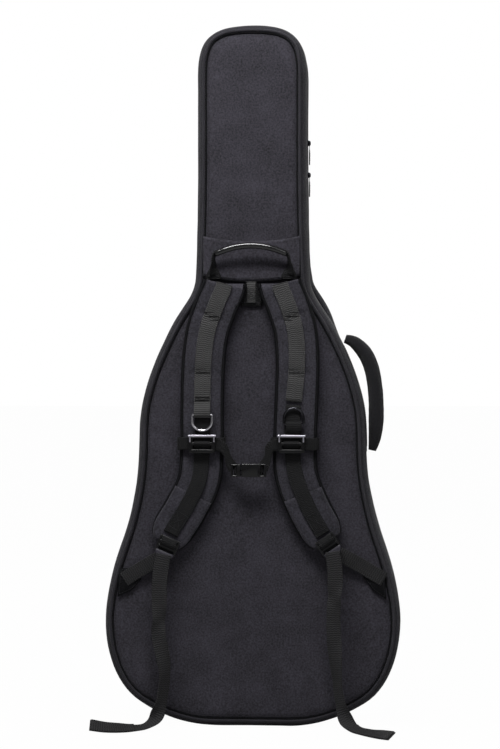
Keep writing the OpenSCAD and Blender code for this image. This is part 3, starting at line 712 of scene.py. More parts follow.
def add_pad(side):
    seed = 11 if side == "left" else 17
    rings = []
    for p, across, half, from_end in pad_frames(side):
        ring = []
        thin = 1 - 0.4 * math.exp(-from_end / 2.5)
        for k in range(40):
            a = TAU * k / 40
            u = rounded(math.cos(a), 0.62) * (half - 1.4)
            v = rounded(math.sin(a), 0.8) * (STRAP_T / 2 - 0.3) * thin
            if v > 0:
                v -= 2.9 * tack_dip(p[2]) * math.exp(-(u / 15) ** 4) + 1.5 * crease(p[2]) * math.exp(-(u / 30) ** 6)
                v -= 0.9 * math.exp(-((abs(u) - 14.5) / 3) ** 2) * (p[2] > 310)
                v += ripple(p[0] + u * 0.7, seed, p[2] * 1.6, 17, 0.9, seed) * (1 - (u / half) ** 4)
            u += math.copysign(ripple(u * 3, seed, p[2], 26, 0.8, seed), u) * abs(u / half)
            ring.append(p + across * u + np.array((0, -v, 0)))
        rings.append(ring)
    lap = [rounded(math.cos(TAU * k / 40), 0.62) * 33 for k in range(40)]
    pad = Build().rings(rings, lap=lap).make("pad_" + side, "strap", "strap_" + side,
                                             replaces=("strap_pad_" + side,))
    bind, seams = Build(), Build()
    reach, high = 3.4, 4.0
    for s in (-1, 1):
        rows = []
        for p, across, half, _ in pad_frames(side):
            turns = [math.radians(-108 + 216 * k / 10) for k in range(11)]
            rows.append([p + across * s * (half - reach + reach * math.cos(a)) + np.array(
                (0, -math.sin(a) * high - 0.2, 0)) for a in turns])
        bind.rings([row + [r * 0.985 + p * 0.015 for r in reversed(row)] for row, (p, *_) in zip(
            rows, pad_frames(side))])
        line = [p + across * s * (half - 5.4) + np.array((0, -5.0, 0)) for p, across, half, _ in pad_frames(side)]
        stitches(seams, line, pitch=3.6, length=2.5, r=0.33)
    # The pad binding carries painted shade along the pad edges as well as its own dark colour
    bind.make("pad_binding_" + side, "binding", "strap_" + side)
    seams.make("pad_stitches_" + side, "thread", "strap_" + side)


def web_depth(z, side):
    """How the strap's webbing lies on its pad: pulled in at the bar tacks."""
    return PAD_FACE - 0.95 + 2.0 * tack_dip(z) - 1.3 * math.exp(-((z - RINGS[side][1]) / 16) ** 2) - 1.5 * (
        1 / (1 + math.exp((z - 378) / 6)))


def web_shift(z, side):
    """The right strap's webbing is sewn a little towards the middle of the bag."""
    return -4.5 * math.exp(-((z - 468) / 70) ** 2) if side == "right" else 1.0 * math.exp(-((z - 468) / 70) ** 2)


def add_strap_webbing(side):
    ring_x, ring_z, up = RINGS[side]
    line = [np.array((p[0] + web_shift(p[2], side), web_depth(p[2], side), p[2])) for p, *_ in pad_frames(side)]
    split = ring_z + (1 if up > 0 else 30)
    route = [p for p in line if p[2] > split]
    low = [p for p in line if 297 < p[2] < split + 4]
    ribbon(Build(), low, 23.5, 1.5).make("lower_run_" + side, "dark_web", "strap_" + side)
    build = Build()
    ribbon(build, route)
    loop = [(0, 0.2, 30), (0, -0.6, 20), (0, -2.0, 9), (0, -3.2, 3.4), (0, -2.7, -1.6), (0, 0.2, -3.6), (0, 2.2, -2)]
    around = [np.array((ring_x, RING_Y + y * 0.98, ring_z + up * z)) for _, y, z in loop]
    around[0][1], around[1][1] = web_depth(ring_z + up * 30, side) - 1.55, web_depth(ring_z + up * 20, side) - 1.7
    face = [(0, -1, 0)] * 3 + [(0, -1, 0), (0, -0.8, -0.6 * up), (0, -0.1, -1 * up), (0, 0.8, -0.6 * up)]
    fine = smooth_route([tuple(a) + tuple(f) for a, f in zip(around, face)], 5)
    if up > 0:
        ribbon(build, [f[:3] for f in fine], outward=[f[3:] for f in fine])
    else:
        ribbon(Build(), [f[:3] for f in fine], 24, outward=[f[3:] for f in fine]).make(
            "ring_loop_" + side, "dark_web", "strap_" + side)
    build.make("webbing_on_" + side, "webbing", "strap_" + side, replaces=("strap_webbing_" + side,))
    marks = Build()
    for z, high in TACKS + [(ring_z + up * 22, 5)]:
        x = float(np.interp(z, [r[2] for r in reversed(route)], [r[0] for r in reversed(route)]))
        y = web_depth(z, side) - WEB_T / 2 - (0.1 if z in (630, 544) else 1.7)
        a, b = 10.5, high
        box = [(x - a, y, z - b), (x + a, y, z - b), (x + a, y, z + b), (x - a, y, z + b), (x - a, y, z - b)]
        for line in (box, [box[0], box[2]], [box[1], box[3]]):
            stitches(marks, line, pitch=2.6, length=2.0, r=0.36)
        # Dense near-black rows across each tack: bar-tack stitching, darkened to carry the painted shade of the tack
        # crease
        for zz in (z - b, z, z + b):
            stitches(marks, [(x - a - 1, y - 0.1, zz), (x + a + 1, y - 0.1, zz)], pitch=0.9, length=1.1, r=0.6)
    marks.make("tacks_" + side, "tack_thread_and_shade", "strap_" + side)


def add_patch(side):
    """The overlay at the pad's lower end, with the crossed box that holds the webbing."""
    rows = [(p, across, half) for p, across, half, _ in pad_frames(side) if p[2] < 362]
    rings = []
    for i, (p, across, half) in enumerate(rows):
        wide = min(half - 1.6, 30.5)
        front = [(wide * u, PAD_FACE + 1.4 * u**6 - 0.9 * (1 - u**4) - 0.9 * math.exp(-((i - 2) / 2.2) ** 2)) for u in
                 (-1, -0.92, -0.75, -0.5, -0.25, 0, 0.25, 0.5, 0.75, 0.92, 1)]
        back = [(u, y + 1.2) for u, y in reversed(front)]
        rings.append([np.array((p[0], y, p[2])) + across * u for u, y in front + back])
    Build().rings(rings).make("strap_end_patch_" + side, "strap", "strap_" + side, replaces=("strap_patch_" + side,))
    seams = Build()
    lift = np.array((0, PAD_FACE - 2.2 - STRAP_Y, 0))
    for u in (-1, 1):
        stitches(seams, [p + across * u * (min(half - 1.6, 30.5) - 3.0) + lift + (0, 0.5, 0)
                         for p, across, half in rows[1:]], pitch=3.4, length=2.4)
    p, across, half = rows[0]
    stitches(seams, [p + across * u + lift + (0, 0.3, 0) for u in (-26, -18, -13)], pitch=3.4, length=2.4)
    c = [r for r in rows if r[0][2] < 330]
    a, b = c[0], c[min(len(c) - 1, 9)]
    web_face = np.array((0, WEB_Y - WEB_T / 2 - 0.1 - STRAP_Y, 0))
    corner = [q[0] + q[1] * u * 10 + web_face for q, u in ((a, -1), (a, 1), (b, 1), (b, -1))]
    for line in ([corner[0], corner[1]], [corner[1], corner[2]], [corner[2], corner[3]], [corner[3], corner[0]],
                 [corner[0], corner[2]], [corner[1], corner[3]]):
        stitches(seams, line, pitch=2.8, length=2.1, r=0.36)
    seams.make("patch_stitches_" + side, "thread", "strap_" + side)


def add_ring(side):
    x, z, up = RINGS[side]
    route = [(-15, 0), (0, 0), (15, 0), (15, -3), (15, -9)]
    route += [(15 * math.cos(t), -9 - 15 * math.sin(t)) for t in np.linspace(0.12, math.pi - 0.12, 22)]
    route += [(-15, -9), (-15, -3)]
    # The left ring takes the bright metal as painted reflection; the right ring shows the dark black nickel both rings
    # have
    tube(Build(), [(x + a, RING_Y, z + b * up) for a, b in route], RING_WIRE, 14, closed=True).make(
        "ring_" + side, "metal" if up > 0 else "gunmetal", "d_ring_" + side, replaces=("d_ring_" + side,))


for side in STRAP_LINES:
    add_pad(side)
    add_strap_webbing(side)
    add_patch(side)
    add_ring(side)

def soft_box(build, lo, hi, r, sides=5, bow=0.0, shell=1.0):
    """A box with rounded corners in x and z and softened faces in y."""
    cx, cz = (lo[0] + hi[0]) / 2, (lo[2] + hi[2]) / 2
    hx, hz = (hi[0] - lo[0]) / 2, (hi[2] - lo[2]) / 2
    layers = [(lo[1], 1.1), (lo[1] + 0.35 * shell, 0.42), (lo[1] + shell, 0), (hi[1] - shell, 0),
              (hi[1] - 0.35 * shell, 0.42), (hi[1], 1.1)]
    rings = []
    for y, shrink in [(y, e * shell) for y, e in layers]:
        ring = []
        for qx, qz, a0 in ((1, 1, 0), (-1, 1, 90), (-1, -1, 180), (1, -1, 270)):
            for k in range(sides + 1):
                a = math.radians(a0 + 90 * k / sides)
                x = cx + qx * (hx - r) + (r - shrink) * math.cos(a)
                z = cz + qz * (hz - r) + (r - shrink) * math.sin(a)
                ring.append(np.array((x, y - bow * (1 - ((x - cx) / hx) ** 2), z)))
        rings.append(ring)
    build.rings(rings)


# ---------------------------------------------------------------- chest strap
CHEST = {"left": -75.5, "right": 67}
PLATE = {"left": -74, "right": 62}
BAND_W = 20
BAND_FACE = -90.8


def add_chest(side):
    """Band round the pad and the folded run to the buckle; the slotted adjuster is made by add_adjuster."""
    x = CHEST[side]
    body = "chest_" + side
    half, deep = STRAP_W / 2 + 2.9, 16.2
    loop = []
    for k in range(64):
        a = TAU * k / 64
        u = rounded(math.cos(a), 0.3) * half
        v = rounded(math.sin(a), 0.42) * deep / 2
        loop.append(np.array((x + u, BAND_FACE + deep / 2 - v - 0.8, CHEST_Z)))
    build = Build()
    rings = []
    for q in range(64):
        p, nxt, prv = loop[q], loop[(q + 1) % 64], loop[q - 1]
        along = (nxt - prv) / np.linalg.norm(nxt - prv)
        out = np.cross(along, (0, 0, 1))
        if np.dot(out, p - np.array((x, BAND_FACE + deep / 2, CHEST_Z))) < 0:
            out = -out
        lean = 0.6 * math.sin(q * 0.4)
        rings.append([p + np.array((0, 0, a + lean)) + out * c for a, c in ribbon_section(BAND_W - 1, 1.5)])
    build.rings(rings, closed_run=True, lap=[a for a, _ in ribbon_section(BAND_W - 1, 1.5)])
    if side == "left":
        folds = [(-75, -92.4, 434, 4), (-52, -92.7, 434, 2), (-42, -93.6, 430, -12), (-36, -93.2, 419, -38),
                 (-31, -93.3, 407, -50), (-25.5, -94.6, 397.5, -10)]
    else:
        folds = [(67, -92.4, 434, 0), (40, -92.7, 434, 0), (30, -93.6, 430, 12), (27, -93.2, 419, 40),
                 (23, -93.3, 408, 45), (17.5, -94.6, 397.5, 8)]
    fine = smooth_route(folds, 7)
    sway = [(math.sin(math.radians(f[3])) * 0.25, -1, 0.15 * math.sin(math.radians(f[3] * 2))) for f in fine]
    ribbon(build, [f[:3] for f in fine], BAND_W - 2, 1.3, outward=sway,
           width_at=lambda t: 1 - 0.38 * math.exp(-((t - 0.62) / 0.2) ** 2))
    build.make("chest_band_" + side, "dark_web", body, replaces=("chest_webbing_" + side,))
    marks = Build()
    for dz in (-6.4, 6.4):
        s = 1 if side == "left" else -1
        stitches(marks, [(x + s * 22, BAND_FACE - 2.75, CHEST_Z + dz), (x + s * 33, BAND_FACE - 2.95, CHEST_Z + dz)],
                 pitch=2.6, length=2.0)
    marks.make("chest_stitches_" + side, "thread", body)


def add_adjuster(side):
    """Slotted plate: its frame is two rails, three bars and a raised lip along the top, with bright strips on the lip
    and rail tops that are painted highlight.
    """
    x, y = PLATE[side], -92.65
    build = Build()

    def bar(x0, x1, z0, z1, y0, y1, bow):
        """Soft-edged bar that runs in x."""
        rings = []
        for t in np.linspace(0, 1, 9):
            px = x0 + (x1 - x0) * t
            tuck = 1 - 0.35 * (abs(2 * t - 1) ** 8)
            cz, cy = (z0 + z1) / 2, (y0 + y1) / 2 - bow * (1 - (2 * t - 1) ** 2)
            hz, hy = (z1 - z0) / 2 * tuck, (y1 - y0) / 2 * tuck
            rings.append([np.array((px, cy + hy * rounded(math.sin(a), 0.5),
                                    cz + hz * rounded(math.cos(a), 0.5)))
                          for a in (TAU * k / 20 for k in range(20))])
        build.rings(rings)

    bar(x - 21.5, x + 21.5, CHEST_Z + 8.6, CHEST_Z + 13.2, y - 5.4, y, bow=0.3)
    bar(x - 20, x + 20, CHEST_Z - 2.4, CHEST_Z + 2.4, y - 4.4, y - 0.2, bow=0.3)
    bar(x - 20, x + 20, CHEST_Z - 14, CHEST_Z - 8.2, y - 4.8, y - 0.2, bow=0.5)
    for s in (-1, 1):
        rail = [(x + s * (17 + 0.6 * math.cos(t * 3)), y - 2.4, CHEST_Z + z) for t, z in
                zip(np.linspace(-1, 1, 9), np.linspace(-12.4, 12.4, 9))]
        rings = [[np.array(p) + np.array((3.1 * rounded(math.cos(a), 0.6),
                                          2.1 * rounded(math.sin(a), 0.6), 0))
                  for a in (TAU * k / 16 for k in range(16))] for p in rail]
        build.rings(rings)
    build.make("adjuster_" + side, "plastic", "chest_" + side, replaces=("chest_adjuster_" + side,))
    # Bright strips on the top lip and the upper ends of the rails: painted highlight standing for the lamp's reflection
    # on the black plastic
    edge = Build()
    for lo, hi in (((x - 21.3, y - 6.6, CHEST_Z + 10.4), (x + 21.3, y - 5.0, CHEST_Z + 13.6)),
                   ((x - 19.4, y - 5.4, CHEST_Z + 2.6), (x - 17.2, y - 4.2, CHEST_Z + 10.8)),
                   ((x + 17.2, y - 5.4, CHEST_Z + 2.6), (x + 19.4, y - 4.2, CHEST_Z + 10.8))):
        soft_box(edge, lo, hi, 0.9, shell=0.5)
    edge.make("adjuster_highlight_strip_" + side, "painted_glint", "chest_" + side)
    wraps = Build()
    route = [(x, y + 0.9, CHEST_Z + 9), (x, y - 1.2, CHEST_Z + 5), (x, y - 5.2, CHEST_Z + 0.4),
             (x, y - 1.4, CHEST_Z - 5), (x, y + 0.9, CHEST_Z - 9)]
    ribbon(wraps, smooth_route(route, 5), 25, 1.2, outward=(0, -1, 0.02))
    wraps.make("adjuster_web_" + side, "dark_web", "chest_" + side)


for side in CHEST:
    add_chest(side)
    add_adjuster(side)


BUCKLE_Y, BUCKLE_Z = -92.65, 396


def add_buckle():
    """Side-release buckle: a socket with side windows, and the pronged half in it."""
    y, z = BUCKLE_Y, BUCKLE_Z
    socket = Build()
    for y0, y1 in ((y - 9, y - 7.1), (y - 1.9, y)):
        soft_box(socket, (-14, y0, z - 10), (12, y1, z + 10), 2.6, bow=0)
    for s in (-1, 1):
        soft_box(socket, (3, y - 7.6, z + s * 8.8 - 1.2), (24, y - 1.4, z + s * 8.8 + 1.2), 1.1)
        soft_box(socket, (-14, y - 7.4, z + s * 8.8 - 1.1), (-9, y - 1.6, z + s * 8.8 + 1.1), 1.0)
    soft_box(socket, (11, y - 8.4, z - 10), (15.6, y - 0.4, z + 10), 1.6)
    soft_box(socket, (20, y - 7.6, z - 10), (24, y - 1.2, z + 10), 1.6)
    socket.make("buckle_shell", "plastic", "chest_right", replaces=("buckle_socket",))
    prongs = Build()
    soft_box(prongs, (-21.5, y - 8.6, z - 9.5), (-14.6, y - 0.4, z + 9.5), 1.8)
    soft_box(prongs, (-30, y - 7.8, z - 9.5), (-26.4, y - 1.0, z + 9.5), 1.6)
    for s in (-1, 1):
        soft_box(prongs, (-29, y - 7.4, z + s * 8.4 - 1.1), (-16, y - 1.4, z + s * 8.4 + 1.1), 1.0)
        soft_box(prongs, (-15.4, y - 6.4, z + s * 6.2 - 1.3), (5, y - 2.6, z + s * 6.2 + 1.3), 1.2)
        soft_box(prongs, (-10.5, y - 6.4, z + s * 7.4 - 1.5), (-0.5, y - 2.6, z + s * 7.4 + 1.5), 1.4)
    soft_box(prongs, (-15.4, y - 6.0, z - 1.1), (8.4, y - 3.0, z + 1.1), 1.0)
    prongs.make("buckle_tongue", "plastic", "buckle_prongs", replaces=("buckle_prongs",))
    threads = Build()
    ribbon(threads, smooth_route([(-20, y - 8.6 + 5, z), (-23.8, y - 4.4, z), (-24.6, y - 2.4, z)], 4), 17, 1.3)
    threads.make("buckle_web_left", "dark_web", "buckle_prongs")
    threads = Build()
    ribbon(threads, smooth_route([(14.6, y - 4, z), (17.8, y - 4.4, z), (19, y - 2.4, z)], 4), 17, 1.3)
    threads.make("buckle_web_right", "dark_web", "chest_right")


add_buckle()

# ---------------------------------------------------------------- ladder locks
LOCKS = {"left": (-126, 283, 23), "right": (116, 286, -35)}
LOCK_Y = -88.85
LOWER = {"left": [(-137, STRAP_Y + 2, 262), (-152, -80, 254), (-168, -77, 244), (-183, -74.4, 235),
                  (-196, -72.6, 226)],
         "right": [(129, STRAP_Y + 2, 270), (146, -80, 262), (164, -77, 252), (184, -74.2, 240),
                   (203, -72.4, 229)]}


def add_lock(side):
    """Ladder lock: a frame with three bars, a curled thumb lip, and webbing woven through."""
    cx, cz, turn = LOCKS[side]
    body = "strap_end_" + side
    build = Build()
    y = LOCK_Y
    for s in (-1, 1):
        soft_box(build, (s * 14.4 - 1.7, y - 5, -15.5), (s * 14.4 + 1.7, y, 10), 1.5)
    for z0, z1, y0 in ((6.4, 10, -4.6), (-0.6, 3.1, -5), (-8.1, -4.4, -4.6)):
        soft_box(build, (-15, y + y0, z0), (15, y - 0.3, z1), 1.4)
    soft_box(build, (-15.6, y - 5.4, -16), (15.6, y - 0.3, -12.4), 1.6, bow=0.3)
    rings = []
    for k, (z, half) in enumerate(((-12.6, 14.2), (-13.4, 14.6), (-16, 14.4), (-19, 12.6), (-21.2, 9.6), (-22.4, 5.6))):
        front = [np.array((half * u, y - 5.6 - 0.55 * k - 0.5 * (1 - u * u), z)) for u in np.linspace(-1, 1, 11)]
        rings.append(front + [q + np.array((0, 2.1, 0.2)) for q in reversed(front)])
    tongue = Build().rings(rings)
    web = Build()
    wrap = [(0, y - 3.2, 9.6), (0, y - 5.6, 5), (0, y - 6.4, 1), (0, y - 5.2, -3), (0, y - 2.0, -7.4),
            (0, y - 1.0, -12)]
    ribbon(web, smooth_route(wrap, 5), 24, 1.5)
    c, s = math.cos(math.radians(turn)), math.sin(math.radians(turn))

    def place(target, name, mat, **extra):
        target.verts = [(cx + v[0] * c + v[2] * s, v[1], cz - v[0] * s + v[2] * c) for v in target.verts]
        target.make(name, mat, body, **extra)

    place(build, "lock_" + side, "plastic", replaces=("ladder_lock_" + side,))
    place(tongue, "lock_tongue_" + side, "tongue")
    place(web, "lock_web_" + side, "dark_web")


def add_lower_webbing(side):
    build = Build()
    fine = smooth_route(LOWER[side], 8)
    ribbon(build, fine, width_at=lambda t: 0.9)
    # The lower run takes the darker webbing: painted shade of the bag's lower part
    obj = build.make("anchor_webbing_" + side, "shaded_tail_web", None, replaces=("lower_webbing_" + side,))
    lock_end, patch_end = (tuple(np.array(p, dtype=float) * MM) for p in (LOWER[side][0], LOWER[side][-1]))
    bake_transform(obj)


def add_anchor(side):
    wing = {"left": [(-203, 244), (-206, 200), (-184, 210), (-170, 226), (-175, 248), (-184, 244)],
            "right": [(203, 242), (206, 198), (186, 212), (171, 232), (178, 252), (186, 248)]}[side]
    y = PANEL_FACE - 0.35
    cx, cz = np.mean(wing, axis=0)
    rings = []
    for shrink, dy in ((1.0, 0.4), (1.0, -0.9), (0.94, -1.9), (0.6, -2.3), (0.12, -2.4)):
        fine = []
        for (x0, z0), (x1, z1) in zip(wing, wing[1:] + wing[:1]):
            for t in (0, 0.25, 0.5, 0.75):
                x, z = x0 + (x1 - x0) * t, z0 + (z1 - z0) * t
                fine.append(np.array((cx + (x - cx) * shrink, y + dy, cz + (z - cz) * shrink)))
        rings.append(fine)
    Build().rings(rings).make("anchor_patch_" + side, "binding", "back_shell", replaces=("anchor_" + side,))
    seams = Build()
    line = [(cx + (x - cx) * 0.86, y - 2.1, cz + (z - cz) * 0.86) for x, z in wing + wing[:1]]
    stitches(seams, line, pitch=3.4, length=2.4)
    seams.make("anchor_stitches_" + side, "thread", "back_shell")


for side in LOCKS:
    add_lock(side)
    add_lower_webbing(side)
    add_anchor(side)

# ---------------------------------------------------------------- yoke and hanging patch
YOKE_FACE = PANEL_FACE - 0.35 - 4.3


def add_yoke():
    """The cloth that covers the strap roots, from piping to piping, with a smile along its edge."""
    rings, seam = [], []
    xs = np.linspace(-1, 1, 61)
    for u in xs:
        half = half_at(700, 13.5)
        x = u * half
        low = YOKE_Z - 7 * math.cos(math.pi / 2 * u) + 1.5 * u**6
        edge = min(1, (1 - abs(u)) / 0.12)
        root = 0.5 + 0.5 * math.tanh((1 - abs(abs(x) - 42) / 40) * 2)
        profile = []
        for t in np.linspace(0, 1, 15):
            z = low + t * 62
            rise = (1 - t) ** 1.6 * edge * (0.5 + 0.5 * root)
            wob = ripple(x, 31, z, 22, 0.8, 31) * rise
            profile.append(np.array((x, PANEL_FACE - 0.3 - 4.6 * rise - wob, z)))
        profile[0] = profile[0] + np.array((0, 1.5, 0.2))
        seam.append(np.array((x, profile[1][1] - 0.15, low + 4.6)))
        back = [q + np.array((0, 1.4 if q[1] < PANEL_FACE - 1.6 else 0.8, 0)) for q in reversed(profile)]
        rings.append(profile + back)
    build = Build().rings(rings)
    build.uvs = [(v[0], v[2]) for v in build.verts]
    yoke = build.make("yoke_cover", "cloth", "back_shell", replaces=("yoke",))
    stitches(Build(), seam, pitch=3.8, length=2.6, r=0.36).make("yoke_stitches", "thread", "back_shell")
    # Thin near-black line along the cover's lower edge: painted shade under the raised edge
    dark = [q + np.array((0, 0.5, -4.3)) for q in seam]
    tube(Build(), dark, 0.6, 8).make("yoke_edge_shade_line", "binding", "back_shell")


def add_hang_patch():
    top = YOKE_Z - 6.5
    rings = []
    for t in np.linspace(0, 1, 22):
        z = top - 38 * t
        half = 8 + 8.5 * min(1, t / 0.75)
        y = PANEL_FACE - 1.0 - 3.2 * (1 - t) ** 0.7
        front = [np.array((half * u, y - 0.9 * (1 - u * u), z)) for u in np.linspace(-1, 1, 9)]
        rings.append(front + [q + np.array((0, 1.1, 0)) for q in reversed(front)])
    build = Build().rings(rings)
    build.uvs = [(v[0], v[2]) for v in build.verts]
    build.make("hanging_patch", "dark_web", "back_shell", replaces=("hang_patch",))
    seams = Build()
    for s in (-1, 1):
        line = [np.array((s * (6.4 + 8.5 * min(1, t / 0.75)), PANEL_FACE - 2.2 - 3.2 * (1 - t) ** 0.7,
                          top - 38 * t)) for t in np.linspace(0.04, 0.9, 10)]
        stitches(seams, line, pitch=3.2, length=2.3)
    for t in (0.86, 0.94):
        y = PANEL_FACE - 2.3 - 3.2 * (1 - t) ** 0.7
        stitches(seams, [(-16, y, top - 38 * t), (16, y, top - 38 * t)], pitch=3.0, length=2.2)
    web = Build()
    route = [(0, YOKE_FACE + 0.3, top - 1), (0, YOKE_FACE - 0.9, top - 8), (0, YOKE_FACE - 0.7, top - 20),
             (0, YOKE_FACE + 0.6, top - 33)]
    fine = smooth_route(route, 6)
    ribbon(web, fine, 13, 1.4)
    web.make("hanging_web", "webbing", "back_shell", replaces=("hang_loop",))
    y = YOKE_FACE - 1.75
    for line in ([(-5, y, top - 12), (5, y, top - 12)], [(-5, y + 0.2, top - 26), (5, y + 0.2, top - 26)],
                 [(-5, y, top - 12), (5, y + 0.2, top - 26)], [(5, y, top - 12), (-5, y + 0.2, top - 26)],
                 [(-5, y, top - 12), (-5, y + 0.2, top - 26)], [(5, y, top - 12), (5, y + 0.2, top - 26)]):
        stitches(seams, line, pitch=2.6, length=1.9)
    seams.make("hanging_stitches", "thread", "back_shell")


add_yoke()
add_hang_patch()

# ---------------------------------------------------------------- haul handle
HAUL_HALF, HAUL_Z, HAUL_RISE, HAUL_R = 55, 725, 13, 4.8
HAUL_Y = PANEL_FACE - 0.35 - 15


def add_haul():
    grip = []
    for u in np.linspace(-1, 1, 49):
        grip.append(np.array((u * HAUL_HALF, HAUL_Y - 3 * (1 - u * u), HAUL_Z + HAUL_RISE * (1 - u * u))))

    def thick(t):
        u = 2 * t - 1
        ridge = 0.18 * math.sin(t * TAU * 26) if abs(u) < 0.8 else 0
        return (HAUL_R + ridge) * (1 - 0.3 * abs(u) ** 10) + 0.5 * math.exp(-((abs(u) - 0.93) / 0.03) ** 2)
    tube(Build(), grip, HAUL_R, 24, radius_at=thick).make("grip", "rubber", "haul_handle", replaces=("haul_grip",))
    legs = Build()
    for s in (-1, 1):
        lean = 1 if s > 0 else 0.35
        route = [(s * (57 + 3 * lean), YOKE_FACE - 3.0, 694), (s * (57.5 + 2.5 * lean), YOKE_FACE - 4.6, 702),
                 (s * (57 + 2 * lean), HAUL_Y + 4.4, 711), (s * 57.5, HAUL_Y + 1.2, 719),
                 (s * 55.5, HAUL_Y + 0.2, 725), (s * 50, HAUL_Y - 0.2, 729)]
        turn = (18, 42, 64, 70, 66, 60)
        fine = smooth_route([r + (t,) for r, t in zip(route, turn)], 6)
        face = [(-s * math.sin(math.radians(f[3])), -math.cos(math.radians(f[3])), 0.12) for f in fine]
        ribbon(legs, [f[:3] for f in fine], 14, 2.6, outward=face, width_at=lambda t: 1 - 0.45 * max(0, t - 0.5) * 2)
    legs.make("haul_legs", "dark_web", "haul_handle", replaces=("haul_webbing",))
    tabs, seams = Build(), Build()
    for s in (-1, 1):
        rings = []
        for z, half in ((687.5, 11.6), (688.2, 12), (693, 11.4), (698, 9.2), (702.4, 6.9), (703.2, 6.2)):
            front = [np.array((s * 58 + half * u, YOKE_FACE - 1.9 - 0.5 * (1 - u * u), z)) for u in
                     np.linspace(-1, 1, 7)]
            rings.append(front + [q + np.array((0, 1.5, 0)) for q in reversed(front)])
        tabs.rings(rings)
        y = YOKE_FACE - 2.55
        a, b = 9.2, 6.0
        box = [(s * 58 - a, y, 691), (s * 58 + a, y, 691), (s * 58 + b, y, 699), (s * 58 - b, y, 699),
               (s * 58 - a, y, 691)]
        for line in (box, [box[0], box[2]], [box[1], box[3]]):
            stitches(seams, line, pitch=2.8, length=2.0)
    tabs.make("haul_tabs", "dark_web", "back_shell", replaces=("haul_handle_tabs",))
    seams.make("haul_stitches", "thread", "back_shell")


add_haul()

# ---------------------------------------------------------------- side handle
SIDE_Y = -23
SIDE_POINTS = [(143, 597, 7), (158, 591, 10), (174, 574, 12), (184, 551, 12), (189, 524, 12), (191, 498, 12),
               (191, 469, 12), (189, 444, 10), (185, 424, 6.5)]


def add_side_handle():
    rings = []
    fine = smooth_route(SIDE_POINTS, 10)
    for i, p in enumerate(fine):
        nxt, prv = fine[min(i + 1, len(fine) - 1)], fine[max(i - 1, 0)]
        along = np.array((nxt[0] - prv[0], 0, nxt[1] - prv[1]))
        along /= np.linalg.norm(along)
        out = np.array((-along[2], 0, along[0]))
        t = i / (len(fine) - 1)
        crease = 0.5 * ripple(t * 300, 5, 0, 9, 1, 41)
        rings.append([np.array((p[0], SIDE_Y, p[1])) + out * (p[2] - 0.35 + crease * 0.6) * math.copysign(
            abs(math.cos(a)) ** 0.85, math.cos(a)) + np.array((0, (p[2] + 1.5) * math.copysign(
                abs(math.sin(a)) ** 0.8, math.sin(a)), 0)) for a in (TAU * k / 28 for k in range(28))])
    lap = [TAU * k / 28 * 11 for k in range(28)]
    handle = Build().rings(rings, lap=lap).make("carry_handle", "smooth", "side_handle", replaces=("side_handle",))
    seam = []
    for i, p in enumerate(fine[3:-3]):
        nxt, prv = fine[i + 4], fine[i + 2]
        along = np.array((nxt[0] - prv[0], 0, nxt[1] - prv[1]))
        along /= np.linalg.norm(along)
        out = np.array((-along[2], 0, along[0]))
        seam.append(np.array((p[0], SIDE_Y, p[1])) + out * (p[2] - 0.2) * -0.62 + np.array((0, -p[2] * 0.86, 0)))
    stitches(Build(), seam, pitch=3.8, length=2.7, r=0.4).make("carry_stitches", "thread", "side_handle")
    rings = []
    wall = [(x, z) for x, z in inset(0) if x > 0 and 420 < z < 606]
    for i, (x, z) in enumerate(wall):
        ends = min(1, min(i, len(wall) - 1 - i) / 1.5)
        top, bottom = SIDE_Y + 18 * (0.7 + 0.3 * ends), SIDE_Y - 18 * (0.7 + 0.3 * ends)
        front = [np.array((x + 1.0 + 0.5 * (1 - u * u), (top + bottom) / 2 + u * (top - bottom) / 2, z))
                 for u in np.linspace(-1, 1, 9)]
        rings.append(front + [q - np.array((1.6, 0, 0)) for q in reversed(front)])
    build = Build().rings(rings)
    build.uvs = [(v[1], v[2]) for v in build.verts]
    build.make("carry_patch", "smooth", "back_shell", replaces=("side_handle_patch",))
    seams = Build()
    for u in (-0.84, 0.84):
        stitches(seams, [(x + 1.7, SIDE_Y + 18 * u, z) for x, z in wall[1:-1]], pitch=3.6, length=2.6,
                 outward=(1, 0, 0))
    seams.make("carry_patch_stitches", "thread", "back_shell")


add_side_handle()

# ---------------------------------------------------------------- front pocket
POCKET_Y, POCKET_DEPTH = 63.55, 30
POCKET_FACE = POCKET_Y + POCKET_DEPTH + 0.2
POCKET_TOP, POCKET_BOTTOM = 700, 14
POCKET_ZIP_Z, POCKET_ZIP_HALF = 638, 78


def pocket_ring(d):
    """The pocket's outline inset by d, flat across the top."""
    ring = [(x, max(z, POCKET_BOTTOM + d)) for x, z in inset(3 + d) if z < POCKET_TOP - d - 3]
    low = [p for p in ring if p[0] >= 0]
    high = [p for p in ring if p[0] < 0]
    half = half_at(POCKET_TOP - d, 3 + d)
    corner = [(half - 1.2, POCKET_TOP - d - 1.5), (half - 4, POCKET_TOP - d)]
    top = [(half * u, POCKET_TOP - d) for u in np.linspace(0.85, -0.85, 15)]
    return np.array(low + corner + top + [(-x, z) for x, z in reversed(corner)] + high)


